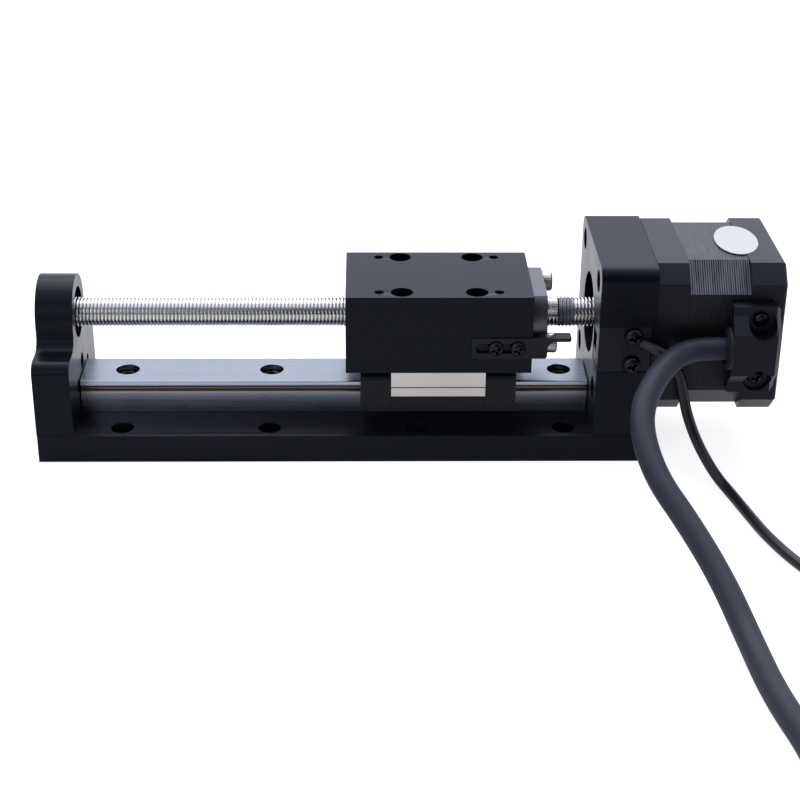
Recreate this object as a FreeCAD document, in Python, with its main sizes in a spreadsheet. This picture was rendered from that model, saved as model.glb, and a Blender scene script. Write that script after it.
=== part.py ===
import FreeCAD, Part
import math
import os

import Sketcher
from FreeCAD import Placement, Rotation, Vector

# Ball screw linear actuator: a slide table on a profile rail, driven by a screw that is
# one piece with the rotor of the stepping motor.
# X runs along the stroke towards the motor, +Y away from the sensor side, +Z up.
# The origin is the middle of the base plate's underside. All sizes are millimetres.

DRIVING_SIZES = [
    # Base plate, end block and motor bracket
    ("base_long", 165, "base plate along the stroke"),
    ("base_wide", 44, "base plate across the stroke"),
    ("base_thick", 8, "base plate"),
    ("axis_high", 27, "screw axis above the base plate"),
    ("block_thick", 10, "end block along the stroke"),
    ("block_shoulder", 20.8, "height of the end block's wide foot"),
    ("block_head", 10.5, "radius of the end block's round head"),
    ("shoulder_round", 3.4, "round of the foot's upper corners"),
    ("waist_round", 4, "hollow between the foot and the head"),
    ("bracket_thick", 15, "motor bracket along the stroke"),
    ("bracket_over_axis", 21, "bracket above the screw axis"),
    ("bracket_round", 4, "round of the bracket's upper corners"),
    ("inner_hole", 4.6, "tapped hole above the rail end"),
    ("inner_hole_high", 12.3, "that hole above the base plate"),
    ("side_hole", 3.4, "tapped holes beside the rail end"),
    ("side_hole_high", 8.6, "those holes above the base plate"),
    ("side_hole_out", 8.8, "those holes from the middle"),
    ("blind_depth", 5, "depth of the end block's tapped holes"),
    ("foot_screw_out", 13, "foot screws from the middle"),
    ("foot_screw_deep", 7.2, "tapped depth for the foot screws"),
    # Screws and their holes
    ("small_shank", 3, "M3 screw"),
    ("small_head", 5.5, "M3 cap head"),
    ("small_head_high", 3, "M3 cap head height"),
    ("small_hole", 3.4, "clearance hole for M3"),
    ("small_sink", 6, "counterbore for M3"),
    ("foot_shank", 4, "M4 screw"),
    ("foot_head", 7, "M4 cap head"),
    ("foot_head_high", 4, "M4 cap head height"),
    ("foot_hole", 4.5, "clearance hole for M4"),
    ("foot_sink", 7.6, "counterbore for M4"),
    ("foot_sink_deep", 4.4, "counterbore depth for M4"),
    ("tap_play", 0.1, "tapped hole over the screw, on the diameter"),
    ("mount_pitch", 40, "base plate holes along the stroke"),
    ("mount_out", 17, "base plate holes from the middle"),
    ("mount_sink_deep", 3.4, "base plate counterbores"),
    # Rail and carriage
    ("rail_wide", 15, "rail"),
    ("rail_high", 9.5, "rail"),
    ("rail_end_gap", 0.2, "rail end to the end block and to the bracket"),
    ("rail_first_hole", 12.5, "first rail hole from the end block"),
    ("rail_pitch", 40, "rail holes"),
    ("rail_sink", 6.5, "rail counterbores"),
    ("rail_sink_deep", 4.5, "rail counterbores"),
    ("rail_screw_long", 11, "rail screws under the head"),
    ("groove_low", 6.2, "rail groove's lower lip above the base plate"),
    ("groove_high", 8, "rail groove's upper lip above the base plate"),
    ("groove_deep", 1, "rail groove"),
    ("rail_bevel", 0.4, "rail's upper edges"),
    ("rail_play", 0.4, "carriage round the rail"),
    ("carriage_long", 42.1, "carriage with its end caps"),
    ("carriage_wide", 32, "carriage"),
    ("carriage_high", 16, "carriage top above the base plate"),
    ("carriage_lift", 4.2, "carriage underside above the base plate"),
    ("steel_long", 25.5, "steel part of the carriage"),
    ("steel_low", 8.9, "underside of the steel above the base plate"),
    ("cap_inset", 0.3, "plastic carriage parts behind the steel's faces"),
    ("cap_drop", 1.2, "end caps below the carriage's top"),
    ("rib_root", 1.2, "retainer rib at its root"),
    ("rib_tip", 0.4, "retainer rib at its tip"),
    ("seal_thick", 0.9, "end seals"),
    ("cap_round", 1.5, "end caps' upper corners"),
    # Slide table
    ("table_rest", 25.75, "table centre from the middle of the base"),
    ("table_long", 50, "slide table"),
    ("clamp_wall", 0.1, "table metal from those screws' counterbores to the flag's recess"),
    ("table_high", 22, "slide table"),
    ("clamp_pitch_long", 20, "screws from table to carriage"),
    ("clamp_pitch_wide", 25, "screws from table to carriage"),
    ("clamp_floor", 6, "table metal under those screw heads"),
    ("clamp_screw_long", 10, "those screws under the head"),
    ("payload_pitch_long", 32, "tapped holes for the payload"),
    ("payload_hole", 2.6, "tapped holes for the payload"),
    ("payload_deep", 8, "tapped holes for the payload"),
    # Ball nut and screw
    ("nut_body", 14, "nut body"),
    ("nut_flange", 27, "nut flange"),
    ("nut_flats", 18, "nut flange across its flats"),
    ("nut_flange_thick", 4.15, "nut flange"),
    ("nut_long", 16, "nut with its flange"),
    ("nut_circle", 21, "circle of the nut's screws"),
    ("nut_angle", 30, "nut screws above and below the axis plane"),
    ("nut_play", 0.1, "nut body in the table bore, on the radius"),
    ("nut_screw_long", 10, "nut screws under the washer"),
    ("nut_head_high", 2.6, "nut screws' head height"),
    ("washer_thick", 0.4, "washers of the nut screws"),
    ("washer_wide", 6, "washers of the nut screws"),
    ("wiper_long", 1.2, "nut wipers"),
    ("wiper_wide", 11, "nut wipers"),
    ("screw_size", 8, "screw over its thread"),
    ("screw_play", 0.2, "nut round the screw, on the radius"),
    ("screw_start", 1.5, "thread's end outside the end block"),
    ("thread_end", 4.5, "thread's end before the motor's face"),
    ("journal", 5, "screw's bearing journals"),
    ("circlip_thick", 0.6, "circlip"),
    ("circlip_wide", 8, "circlip"),
    ("circlip_groove", 0.2, "circlip groove depth"),
    # Bearings
    ("end_bearing_wide", 14, "end bearing outside"),
    ("end_bearing_long", 5, "end bearing"),
    ("end_bearing_sunk", 2, "end bearing behind the block's face"),
    ("motor_bearing_wide", 16, "motor bearings outside"),
    ("motor_bearing_long", 5, "motor bearings"),
    ("ring_thick", 1.3, "bearing rings"),
    ("shield_thick", 0.5, "bearing shields"),
    ("bearing_play", 0.02, "bearings in their seats and on the shaft"),
    ("shaft_relief", 10, "holes round the turning shaft"),
    # Motor
    ("motor_square", 42.3, "motor"),
    ("motor_corner", 4.5, "motor flange corners"),
    ("motor_front", 8.4, "motor's front flange"),
    ("motor_rear", 9.4, "motor's rear cap"),
    ("motor_rear_round", 1, "round of the rear cap's outer edges"),
    ("stator_square", 41.8, "stator laminations"),
    ("stator_corner", 7, "stator corners"),
    ("stator_long", 16.2, "stator"),
    ("pilot", 22, "motor's centring boss"),
    ("pilot_high", 2, "motor's centring boss"),
    ("pilot_play", 0.1, "bracket bore round the boss, on the radius"),
    ("motor_pitch", 31, "motor's screw square"),
    ("bracket_sink_deep", 4.5, "counterbores for the motor screws"),
    ("motor_screw_long", 14, "screws from the bracket into the motor"),
    ("front_seat", 1.5, "front bearing behind the flange's face"),
    ("winding_room", 34, "hollow for the winding heads"),
    ("winding_room_deep", 2.6, "hollow for the winding heads"),
    ("winding_wide", 32, "winding heads outside"),
    ("winding_bore", 24, "winding heads inside"),
    ("winding_long", 2.2, "winding heads"),
    ("rotor_wide", 22, "rotor"),
    ("rotor_long", 15, "rotor"),
    ("air_gap", 0.3, "rotor in the stator"),
    ("shaft_end_gap", 0.6, "shaft end to the rear cap"),
    ("body_sink_deep", 3, "counterbores for the motor's long screws"),
    ("body_screw_gap", 0.6, "long screws' ends to the bracket screws' ends"),
    # Cable gland on the rear cap
    ("gland_long", 12.7, "gland housing along the stroke"),
    ("gland_from_end", 1.8, "gland housing from the motor's rear face"),
    ("gland_drop", 0.3, "gland centre under the screw axis"),
    ("gland_high", 24.6, "gland housing"),
    ("gland_ear", 3.5, "depth of the gland's ears"),
    ("gland_deep", 7.45, "depth of the gland"),
    ("gland_ear_high", 2.5, "flat front of the gland's ears"),
    ("gland_bevel", 1.3, "gland's edges at its rear end"),
    ("gland_screw_along", 7.6, "gland screws from the cable's side"),
    ("gland_screw_out", 8.2, "gland screws from its centre"),
    ("gland_sink", 7.4, "gland's screw wells"),
    ("gland_floor", 2, "gland metal under the screw heads"),
    ("pan_shank", 2.5, "M2.5 screw"),
    ("pan_head", 4.5, "M2.5 pan head"),
    ("pan_head_high", 1.8, "M2.5 pan head height"),
    ("gland_head", 4, "gland screws' heads"),
    ("gland_head_high", 1.5, "gland screws' head height"),
    ("gland_screw_grip", 4, "gland screws in the rear cap"),
    ("cable_seat", 6, "depth of the cable in the gland"),
    ("cable_over_gland", 0.6, "cable above the gland's middle"),
    ("grommet_wide", 11.4, "grommet"),
    ("grommet_long", 1.6, "grommet"),
    ("grommet_slope", 0.8, "grommet's edge behind its mouth"),
    ("grommet_mouth", 8.6, "grommet's mouth"),
    ("grommet_mouth_deep", 1, "grommet's mouth"),
    ("grommet_play", 0.05, "grommet round the cable, on the radius"),
    ("label_long", 11.6, "oval label along the stroke"),
    ("label_wide", 20.9, "oval label across the stroke"),
    ("label_thick", 0.12, "oval label"),
    ("label_from_end", 10.4, "label centre from the motor's rear face"),
    ("label_off", -0.4, "label centre from the middle"),
    ("label_turn", -3.5, "turn of the label, which is put on by hand, in degrees"),
    # Home sensor and its flag
    ("sensor_under_axis", 1.5, "sensor centre under the screw axis"),
    ("sensor_high", 13, "sensor"),
    ("fork_long", 6.7, "sensor's fork along the stroke"),
    ("sensor_long", 14, "sensor with its foot"),
    ("fork_deep", 9.4, "sensor's fork across the stroke"),
    ("foot_deep", 4.2, "sensor's foot and the fork's back"),
    ("foot_back", 0.3, "sensor's foot behind the fork's face"),
    ("fork_gap", 5.2, "gap of the fork"),
    ("sensor_play", 0.1, "sensor in its pocket"),
    ("sensor_screw_pitch", 8.1, "sensor screws"),
    ("sensor_screw_drop", 0.2, "sensor screws' middle under the sensor's"),
    ("sensor_screw_along", 9.3, "sensor screws from the bracket's inner face"),
    ("sensor_screw_grip", 4.6, "sensor screws in the bracket"),
    ("flag_thick", 1, "flag sheet"),
    ("flag_sunk", 0.6, "flag recess in the table"),
    ("flag_long", 20.3, "flag plate"),
    ("flag_high", 5.9, "flag plate"),
    ("flag_round", 0.8, "round corners of the flag"),
    ("flag_low", 4.4, "flag plate above the table's underside"),
    ("flag_arm", 6.4, "flag arm past the plate"),
    ("flag_arm_high", 1, "flag arm"),
    ("flag_neck", 2.2, "hollow between the plate and the arm"),
    ("flag_tab_deep", 3.9, "flag tab across the stroke"),
    ("flag_tab_long", 4.1, "flag tab along the stroke"),
    ("flag_slot_long", 13.4, "flag's adjusting slot"),
    ("flag_slot_high", 2.8, "flag's adjusting slot"),
    ("flag_slot_from_end", 1.1, "slot from the plate's end"),
    ("flag_screw_wall", 1.2, "table metal from a table screw's counterbore to the first flag screw"),
    ("flag_screw_first", 6.5, "first flag screw from the plate's end"),
    ("flag_screw_pitch", 5.9, "flag screws"),
    ("flag_shank", 2, "M2 screw"),
    ("flag_head", 4, "M2 pan head"),
    ("flag_head_high", 1.3, "M2 pan head height"),
    ("flag_screw_grip", 3.8, "flag screws in the table"),
    # Cables
    ("motor_cable", 6.2, "motor cable"),
    ("motor_coil_radius", 38.4, "motor cable's coil, its outermost turn"),
    ("motor_curl", 15, "radius of the turn to the motor connector"),
    ("motor_plug_long", 20, "motor connector"),
    ("motor_plug_wide", 12, "motor connector"),
    ("motor_plug_high", 8, "motor connector"),
    ("sensor_cable", 2.9, "sensor cable"),
    ("sensor_coil_radius", 18.7, "sensor cable's coil, its outermost turn"),
    ("sensor_curl", 6.5, "radius of the turn to the sensor connector"),
    ("sensor_plug_long", 7.8, "sensor connector"),
    ("sensor_plug_wide", 6.6, "sensor connector"),
    ("sensor_plug_high", 4.6, "sensor connector"),
    ("coil_lead_in", 10, "straight end of a cable before its coil"),
    ("sensor_cable_sunk", 0.5, "sensor cable's start inside the sensor"),
    ("sensor_exit_along", 12.3, "sensor cable from the sensor's left end"),
    ("sensor_exit_over", 1.6, "sensor cable above the sensor's centre"),
]

# The cables' routes from the place where they leave the object: along X and along Y in cable
# diameters, then the height as a part of the way from the floor (0) up to that place (1).
MOTOR_CABLE_ROUTE = [
    (-0.10, 0, 1),
    (-1.76, -0.21, 1),
    (-3.10, -1.95, 0.96),
    (-4.18, -4.21, 0.79),
    (-3.84, -6.76, 0.55),
    (-2.74, -9.10, 0.37),
    (-1.81, -11.52, 0.18),
    (-1.19, -14.41, 0),
    (-0.97, -17.60, 0),
    (-0.29, -20.91, 0),
    (-0.29, -24.41, 0),
]
SENSOR_CABLE_ROUTE = [
    (1.20, -0.93, 0.98),
    (2.35, -0.66, 0.90),
    (3.40, -0.66, 0.74),
    (3.95, -0.85, 0.56),
    (4.08, -1.25, 0.40),
    (5.21, -2.21, 0.21),
    (6.59, -4.55, 0.04),
    (7.72, -7.52, 0),
    (8.45, -10.86, 0),
    (9.34, -14.66, 0),
    (11.00, -19.14, 0),
    (13.55, -23.45, 0),
    (13.55, -26.72, 0),
]
# A cable's turns lie in one flat spiral that winds inwards. It comes in on the left side of
# the coil and winds to the far side, from where it curls to its connector in the middle.
MOTOR_COIL_TURNS = 1.75
SENSOR_COIL_TURNS = 2.75
BEND_SHARE = 0.45
VOLUME_ERROR = 0.01

MOUNT_COLUMNS = 4
RAIL_HOLES = 4
BOTH_SIDES = (-1, 1)
CUT_PAST = 1
SMALLEST_CUT = 1e-3
SAME_PLACE = 1e-3
SAME_WAY = 1e-6
FULL_TURN = 360


class Size:
    """A length in mm, kept as a number and as the sheet formula that gives it."""

    def __init__(self, number, formula):
        self.number = float(number)
        self.formula = formula

    def joined(self, sign, other, number):
        other = as_size(other)
        return Size(number, "({} {} {})".format(self.formula, sign, other.formula))

    def __add__(self, other):
        return self.joined("+", other, self.number + as_size(other).number)

    def __sub__(self, other):
        return self.joined("-", other, self.number - as_size(other).number)

    def __mul__(self, other):
        return self.joined("*", other, self.number * as_size(other).number)

    def __truediv__(self, other):
        return self.joined("/", other, self.number / as_size(other).number)

    def __neg__(self):
        return Size(-self.number, "(-{})".format(self.formula))

    def __radd__(self, other):
        return as_size(other) + self

    def __rmul__(self, other):
        return as_size(other) * self


def as_size(value):
    """The value as a Size: a plain number becomes its own formula."""
    if isinstance(value, Size):
        return value
    return Size(value, "({})".format(value))


def root(value):
    """The square root of a Size."""
    return Size(math.sqrt(value.number), "sqrt({})".format(value.formula))


def turned_by(angle):
    """The cosine and the sine of a Size that holds degrees."""
    radians = math.radians(angle.number)
    cosine = Size(math.cos(radians), "cos({} * 1deg)".format(angle.formula))
    sine = Size(math.sin(radians), "sin({} * 1deg)".format(angle.formula))
    return cosine, sine


class Sizes:
    """The driving sizes by name, each tied to its cell of the sheet."""


doc = FreeCAD.newDocument("ball_screw_actuator")
sheet = doc.addObject("Spreadsheet::Sheet", "dims")
d = Sizes()
for row, (name, millimetres, note) in enumerate(DRIVING_SIZES, start=1):
    sheet.set("A{}".format(row), note)
    sheet.set("B{}".format(row), str(millimetres))
    sheet.setAlias("B{}".format(row), name)
    setattr(d, name, Size(millimetres, "dims." + name))
doc.recompute()

sub_parts = []


def bind(thing, path, size):
    """Ties one property of a document object to the sheet."""
    thing.setExpression(path, as_size(size).formula)


def place(thing, x=0, y=0, z=0):
    """Puts a sub-part where the sheet says."""
    for axis, size in zip("xyz", (x, y, z)):
        bind(thing, "Placement.Base." + axis, size)


def new_body(label):
    body = doc.addObject("PartDesign::Body", label)
    body.Label = label
    sub_parts.append(body)
    return body


def new_sketch(body, role, offset):
    """A sketch on one of the body's origin planes, moved along the plane's normal."""
    sketch = body.newObject("Sketcher::SketchObject", body.Label + "_sketch")
    plane = next(item for item in body.Origin.OriginFeatures if item.Role == role)
    sketch.AttachmentSupport = [(plane, "")]
    sketch.MapMode = "FlatFace"
    bind(sketch, "AttachmentOffset.Base.z", offset)
    return sketch


def hold(sketch, kind, geometry, vertex, size):
    """Fixes one coordinate of a sketch point to the sheet."""
    size = as_size(size)
    index = sketch.addConstraint(Sketcher.Constraint(kind, -1, 1, geometry, vertex, size.number))
    sketch.setExpression("Constraints[{}]".format(index), size.formula)


def draw_outline(sketch, points, arcs=None):
    """A closed outline through the points.

    arcs maps the index of an edge to (centre, axis, clockwise): the centre's coordinate along
    that axis is held, and the two ends of the edge fix the other one.
    """
    arcs = arcs or {}
    points = [(as_size(across), as_size(up)) for across, up in points]
    ends = []
    for index, (across, up) in enumerate(points):
        next_across, next_up = points[(index + 1) % len(points)]
        first = Vector(across.number, up.number, 0)
        last = Vector(next_across.number, next_up.number, 0)
        if index not in arcs:
            ends.append((sketch.addGeometry(Part.LineSegment(first, last)), 1, 2))
            continue
        (centre_across, centre_up), axis, clockwise = arcs[index]
        centre = Vector(as_size(centre_across).number, as_size(centre_up).number, 0)
        circle = Part.Circle(centre, Vector(0, 0, 1), (first - centre).Length)
        begin, finish = (last, first) if clockwise else (first, last)
        angles = [math.atan2(end.y - centre.y, end.x - centre.x) for end in (begin, finish)]
        arc = sketch.addGeometry(Part.ArcOfCircle(circle, angles[0], angles[1]))
        ends.append((arc, 2, 1) if clockwise else (arc, 1, 2))
        held = centre_across if axis == "X" else centre_up
        hold(sketch, "Distance" + axis, arc, 3, held)
    for index, (geometry, start, _) in enumerate(ends):
        previous, _, finish = ends[index - 1]
        sketch.addConstraint(Sketcher.Constraint("Coincident", previous, finish, geometry, start))
        hold(sketch, "DistanceX", geometry, start, points[index][0])
        hold(sketch, "DistanceY", geometry, start, points[index][1])


def draw_circles(sketch, places, diameter):
    for across, up in places:
        centre = Vector(as_size(across).number, as_size(up).number, 0)
        radius = as_size(diameter).number / 2
        circle = sketch.addGeometry(Part.Circle(centre, Vector(0, 0, 1), radius))
        hold(sketch, "DistanceX", circle, 3, across)
        hold(sketch, "DistanceY", circle, 3, up)
        index = sketch.addConstraint(Sketcher.Constraint("Diameter", circle, 2 * radius))
        sketch.setExpression("Constraints[{}]".format(index), as_size(diameter).formula)


def box_points(low_across, low_up, high_across, high_up):
    return [
        (low_across, low_up),
        (high_across, low_up),
        (high_across, high_up),
        (low_across, high_up),
    ]


def pad(body, sketch, length, backwards=False):
    feature = body.newObject("PartDesign::Pad", body.Label + "_pad")
    feature.Profile = sketch
    bind(feature, "Length", length)
    feature.Reversed = backwards
    sketch.Visibility = False
    doc.recompute()
    return feature


def cut(body, sketch, depth, backwards=False):
    """A pocket that must take some metal away; it goes against the sketch's normal."""
    before = body.Tip.Shape.Volume
    feature = body.newObject("PartDesign::Pocket", body.Label + "_pocket")
    feature.Profile = sketch
    bind(feature, "Length", depth)
    feature.Reversed = backwards
    sketch.Visibility = False
    doc.recompute()
    if before - feature.Shape.Volume < SMALLEST_CUT:
        raise RuntimeError("a pocket of {} cuts nothing".format(body.Label))
    return feature


def extruded(label, role, points, length, arcs=None, offset=0):
    """A body with one padded outline."""
    body = new_body(label)
    sketch = new_sketch(body, role, offset)
    draw_outline(sketch, points, arcs)
    pad(body, sketch, length)
    return body


def drill(body, role, offset, places, diameter, depth, backwards=False):
    """Round holes of one size from a plane parallel to an origin plane."""
    sketch = new_sketch(body, role, offset)
    draw_circles(sketch, places, diameter)
    cut(body, sketch, depth, backwards)


def mill(body, role, offset, points, depth, backwards=False):
    """A pocket with a straight-sided outline."""
    sketch = new_sketch(body, role, offset)
    draw_outline(sketch, points)
    cut(body, sketch, depth, backwards)


def turned(label, points):
    """A body turned about X from an outline of (along, radius) points."""
    body = new_body(label)
    sketch = new_sketch(body, "XZ_Plane", 0)
    draw_outline(sketch, points)
    feature = body.newObject("PartDesign::Revolution", label + "_turned")
    feature.Profile = sketch
    feature.ReferenceAxis = (sketch, ["H_Axis"])
    feature.Angle = FULL_TURN
    sketch.Visibility = False
    doc.recompute()
    return body


def ring(label, long, bore, outside):
    """A plain ring from x = 0 to its length, by its diameters."""
    return turned(label, box_points(0, bore / 2, long, outside / 2))


def soften(body, kind, size, chosen):
    """Fillets or chamfers the edges of the tip that chosen(edge) picks."""
    tip = body.Tip
    names = []
    for index, edge in enumerate(tip.Shape.Edges, start=1):
        if chosen(edge):
            names.append("Edge{}".format(index))
    feature = body.newObject("PartDesign::" + kind, body.Label + "_" + kind.lower())
    feature.Base = (tip, names)
    bind(feature, "Radius" if kind == "Fillet" else "Size", size)
    doc.recompute()


def runs_along(edge, axis):
    """Whether a straight edge is parallel to the axis."""
    if not isinstance(edge.Curve, Part.Line):
        return False
    return abs(abs(edge.Curve.Direction.dot(axis)) - 1) < SAME_WAY


def near(value, size):
    return abs(value - as_size(size).number) < SAME_PLACE


def group(label, solids):
    """Equal loose pieces, such as screws, as separate solids of one sub-part."""
    feature = doc.addObject("Part::Feature", label)
    feature.Label = label
    feature.Shape = Part.makeCompound(solids)
    sub_parts.append(feature)
    return feature


def headed_screw(seat, towards, shank, length, head, head_high):
    """One screw: its head starts at the seat and its shank runs the way it is driven."""
    shank_solid = Part.makeCylinder(shank.number / 2, length.number, seat, towards)
    head_start = seat - towards * head_high.number
    head_solid = Part.makeCylinder(head.number / 2, head_high.number, head_start, towards)
    return head_solid.fuse(shank_solid).removeSplitter()


AXIS_X = Vector(1, 0, 0)
AXIS_Y = Vector(0, 1, 0)
AXIS_Z = Vector(0, 0, 1)

# Places that many pieces share
base_end = d.base_long / 2
base_side = d.base_wide / 2
axis_z = d.base_thick + d.axis_high
left_in = d.block_thick - base_end
right_in = base_end - d.bracket_thick
table_z = d.base_thick + d.carriage_high
table_right = d.table_rest + d.table_long / 2
table_side = d.clamp_pitch_wide / 2 + d.small_sink / 2 + d.clamp_wall + d.flag_sunk
small_tap = d.small_shank + d.tap_play
foot_tap = d.foot_shank + d.tap_play
pan_tap = d.pan_shank + d.tap_play
flag_tap = d.flag_shank + d.tap_play


def corners(out):
    """The four corners of a square, out from its centre."""
    return [(out * side, out * level) for side in BOTH_SIDES for level in BOTH_SIDES]


def build_base_plate():
    body = extruded("base_plate", "XY_Plane",
                    box_points(-base_end, -base_side, base_end, base_side), d.base_thick)
    first = -d.mount_pitch * (MOUNT_COLUMNS - 1) / 2
    mounts = []
    for column in range(MOUNT_COLUMNS):
        for side in BOTH_SIDES:
            mounts.append((first + d.mount_pitch * column, d.mount_out * side))
    drill(body, "XY_Plane", d.base_thick, mounts, d.small_hole, d.base_thick)
    drill(body, "XY_Plane", d.base_thick, mounts, d.small_sink, d.mount_sink_deep)
    rail_holes = [(along, 0) for along in rail_hole_places()]
    drill(body, "XY_Plane", d.base_thick, rail_holes, small_tap, d.base_thick)
    feet = foot_screw_places()
    drill(body, "XY_Plane", d.base_thick, feet, d.foot_hole, d.base_thick)
    drill(body, "XY_Plane", 0, feet, d.foot_sink, d.foot_sink_deep, backwards=True)


def rail_hole_places():
    """Where the rail's holes are along X."""
    return [left_in + d.rail_first_hole + d.rail_pitch * hole for hole in range(RAIL_HOLES)]


def foot_screw_places():
    """The screws from below into the end block and the bracket."""
    block_middle = d.block_thick / 2 - base_end
    bracket_middle = base_end - d.bracket_thick / 2
    return [(along, d.foot_screw_out * side) for along in (block_middle, bracket_middle)
            for side in BOTH_SIDES]


def build_end_block():
    """The foot and the head are one outline; the waist and the shoulders are fillets."""
    outline = [
        (-base_side, 0),
        (base_side, 0),
        (base_side, d.block_shoulder),
        (d.block_head, d.block_shoulder),
        (d.block_head, d.axis_high),
        (-d.block_head, d.axis_high),
        (-d.block_head, d.block_shoulder),
        (-base_side, d.block_shoulder),
    ]
    head = {4: ((0, d.axis_high), "Y", False)}
    body = extruded("end_bearing_block", "YZ_Plane", outline, d.block_thick, head)
    soften(body, "Fillet", d.waist_round,
           lambda edge: runs_along(edge, AXIS_X) and near(edge.CenterOfMass.z, d.block_shoulder)
           and near(abs(edge.CenterOfMass.y), d.block_head))
    soften(body, "Fillet", d.shoulder_round,
           lambda edge: runs_along(edge, AXIS_X) and near(edge.CenterOfMass.z, d.block_shoulder)
           and near(abs(edge.CenterOfMass.y), base_side))
    seat_deep = d.end_bearing_sunk + d.end_bearing_long
    axis = [(0, d.axis_high)]
    drill(body, "YZ_Plane", d.block_thick, axis, d.end_bearing_wide + d.bearing_play * 2, seat_deep)
    drill(body, "YZ_Plane", d.block_thick, axis, d.shaft_relief, d.block_thick)
    drill(body, "YZ_Plane", d.block_thick, [(0, d.inner_hole_high)], d.inner_hole, d.blind_depth)
    beside = [(d.side_hole_out * side, d.side_hole_high) for side in BOTH_SIDES]
    drill(body, "YZ_Plane", d.block_thick, beside, d.side_hole, d.blind_depth)
    feet = [(d.block_thick / 2, d.foot_screw_out * side) for side in BOTH_SIDES]
    drill(body, "XY_Plane", 0, feet, foot_tap, d.foot_screw_deep, backwards=True)
    place(body, -base_end, 0, d.base_thick)


def build_bracket():
    top = d.axis_high + d.bracket_over_axis
    body = extruded("motor_bracket", "YZ_Plane", box_points(-base_side, 0, base_side, top),
                    d.bracket_thick)
    soften(body, "Fillet", d.bracket_round,
           lambda edge: runs_along(edge, AXIS_X) and near(edge.CenterOfMass.z, top))
    drill(body, "YZ_Plane", d.bracket_thick, [(0, d.axis_high)], d.pilot + d.pilot_play * 2,
          d.bracket_thick)
    bolts = [(across, d.axis_high + up) for across, up in corners(d.motor_pitch / 2)]
    drill(body, "YZ_Plane", d.bracket_thick, bolts, d.small_hole, d.bracket_thick)
    drill(body, "YZ_Plane", 0, bolts, d.small_sink, d.bracket_sink_deep, backwards=True)
    feet = [(d.bracket_thick / 2, d.foot_screw_out * side) for side in BOTH_SIDES]
    drill(body, "XY_Plane", 0, feet, foot_tap, d.foot_screw_deep, backwards=True)
    level = d.axis_high - d.sensor_under_axis
    half = d.sensor_high / 2 + d.sensor_play
    fork_end = d.fork_long + d.sensor_play * 2
    mill(body, "XZ_Plane", base_side, box_points(0, level - half, fork_end, level + half),
         d.fork_deep + d.sensor_play * 2)
    mill(body, "XZ_Plane", base_side,
         box_points(0, level - half, d.sensor_long + d.sensor_play * 2, level + half),
         d.foot_deep + d.sensor_play)
    screws = [(d.sensor_screw_along, up - d.base_thick) for up in sensor_screw_levels()]
    drill(body, "XZ_Plane", base_side, screws, pan_tap,
          d.foot_deep + d.sensor_play + d.sensor_screw_grip)
    place(body, right_in, 0, d.base_thick)


def rail_side(across, side, low_lip, high_lip, groove, bottom, top, bevel):
    """One flank of the rail's section from the bottom up."""
    slope = (high_lip - low_lip) / 3
    return [
        (across * side, bottom),
        (across * side, low_lip),
        ((across - groove) * side, low_lip + slope),
        ((across - groove) * side, high_lip - slope),
        (across * side, high_lip),
        (across * side, top - bevel),
        ((across - bevel) * side, top),
    ]


def build_rail():
    flank = (d.groove_low, d.groove_high, d.groove_deep, 0, d.rail_high, d.rail_bevel)
    right = rail_side(d.rail_wide / 2, 1, *flank)
    left = rail_side(d.rail_wide / 2, -1, *flank)
    body = extruded("guide_rail", "YZ_Plane", right + left[::-1],
                    right_in - left_in - d.rail_end_gap * 2)
    holes = [(d.rail_first_hole - d.rail_end_gap + d.rail_pitch * hole, 0)
             for hole in range(RAIL_HOLES)]
    drill(body, "XY_Plane", d.rail_high, holes, d.small_hole, d.rail_high)
    drill(body, "XY_Plane", d.rail_high, holes, d.rail_sink, d.rail_sink_deep)
    place(body, left_in + d.rail_end_gap, 0, d.base_thick)


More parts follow.
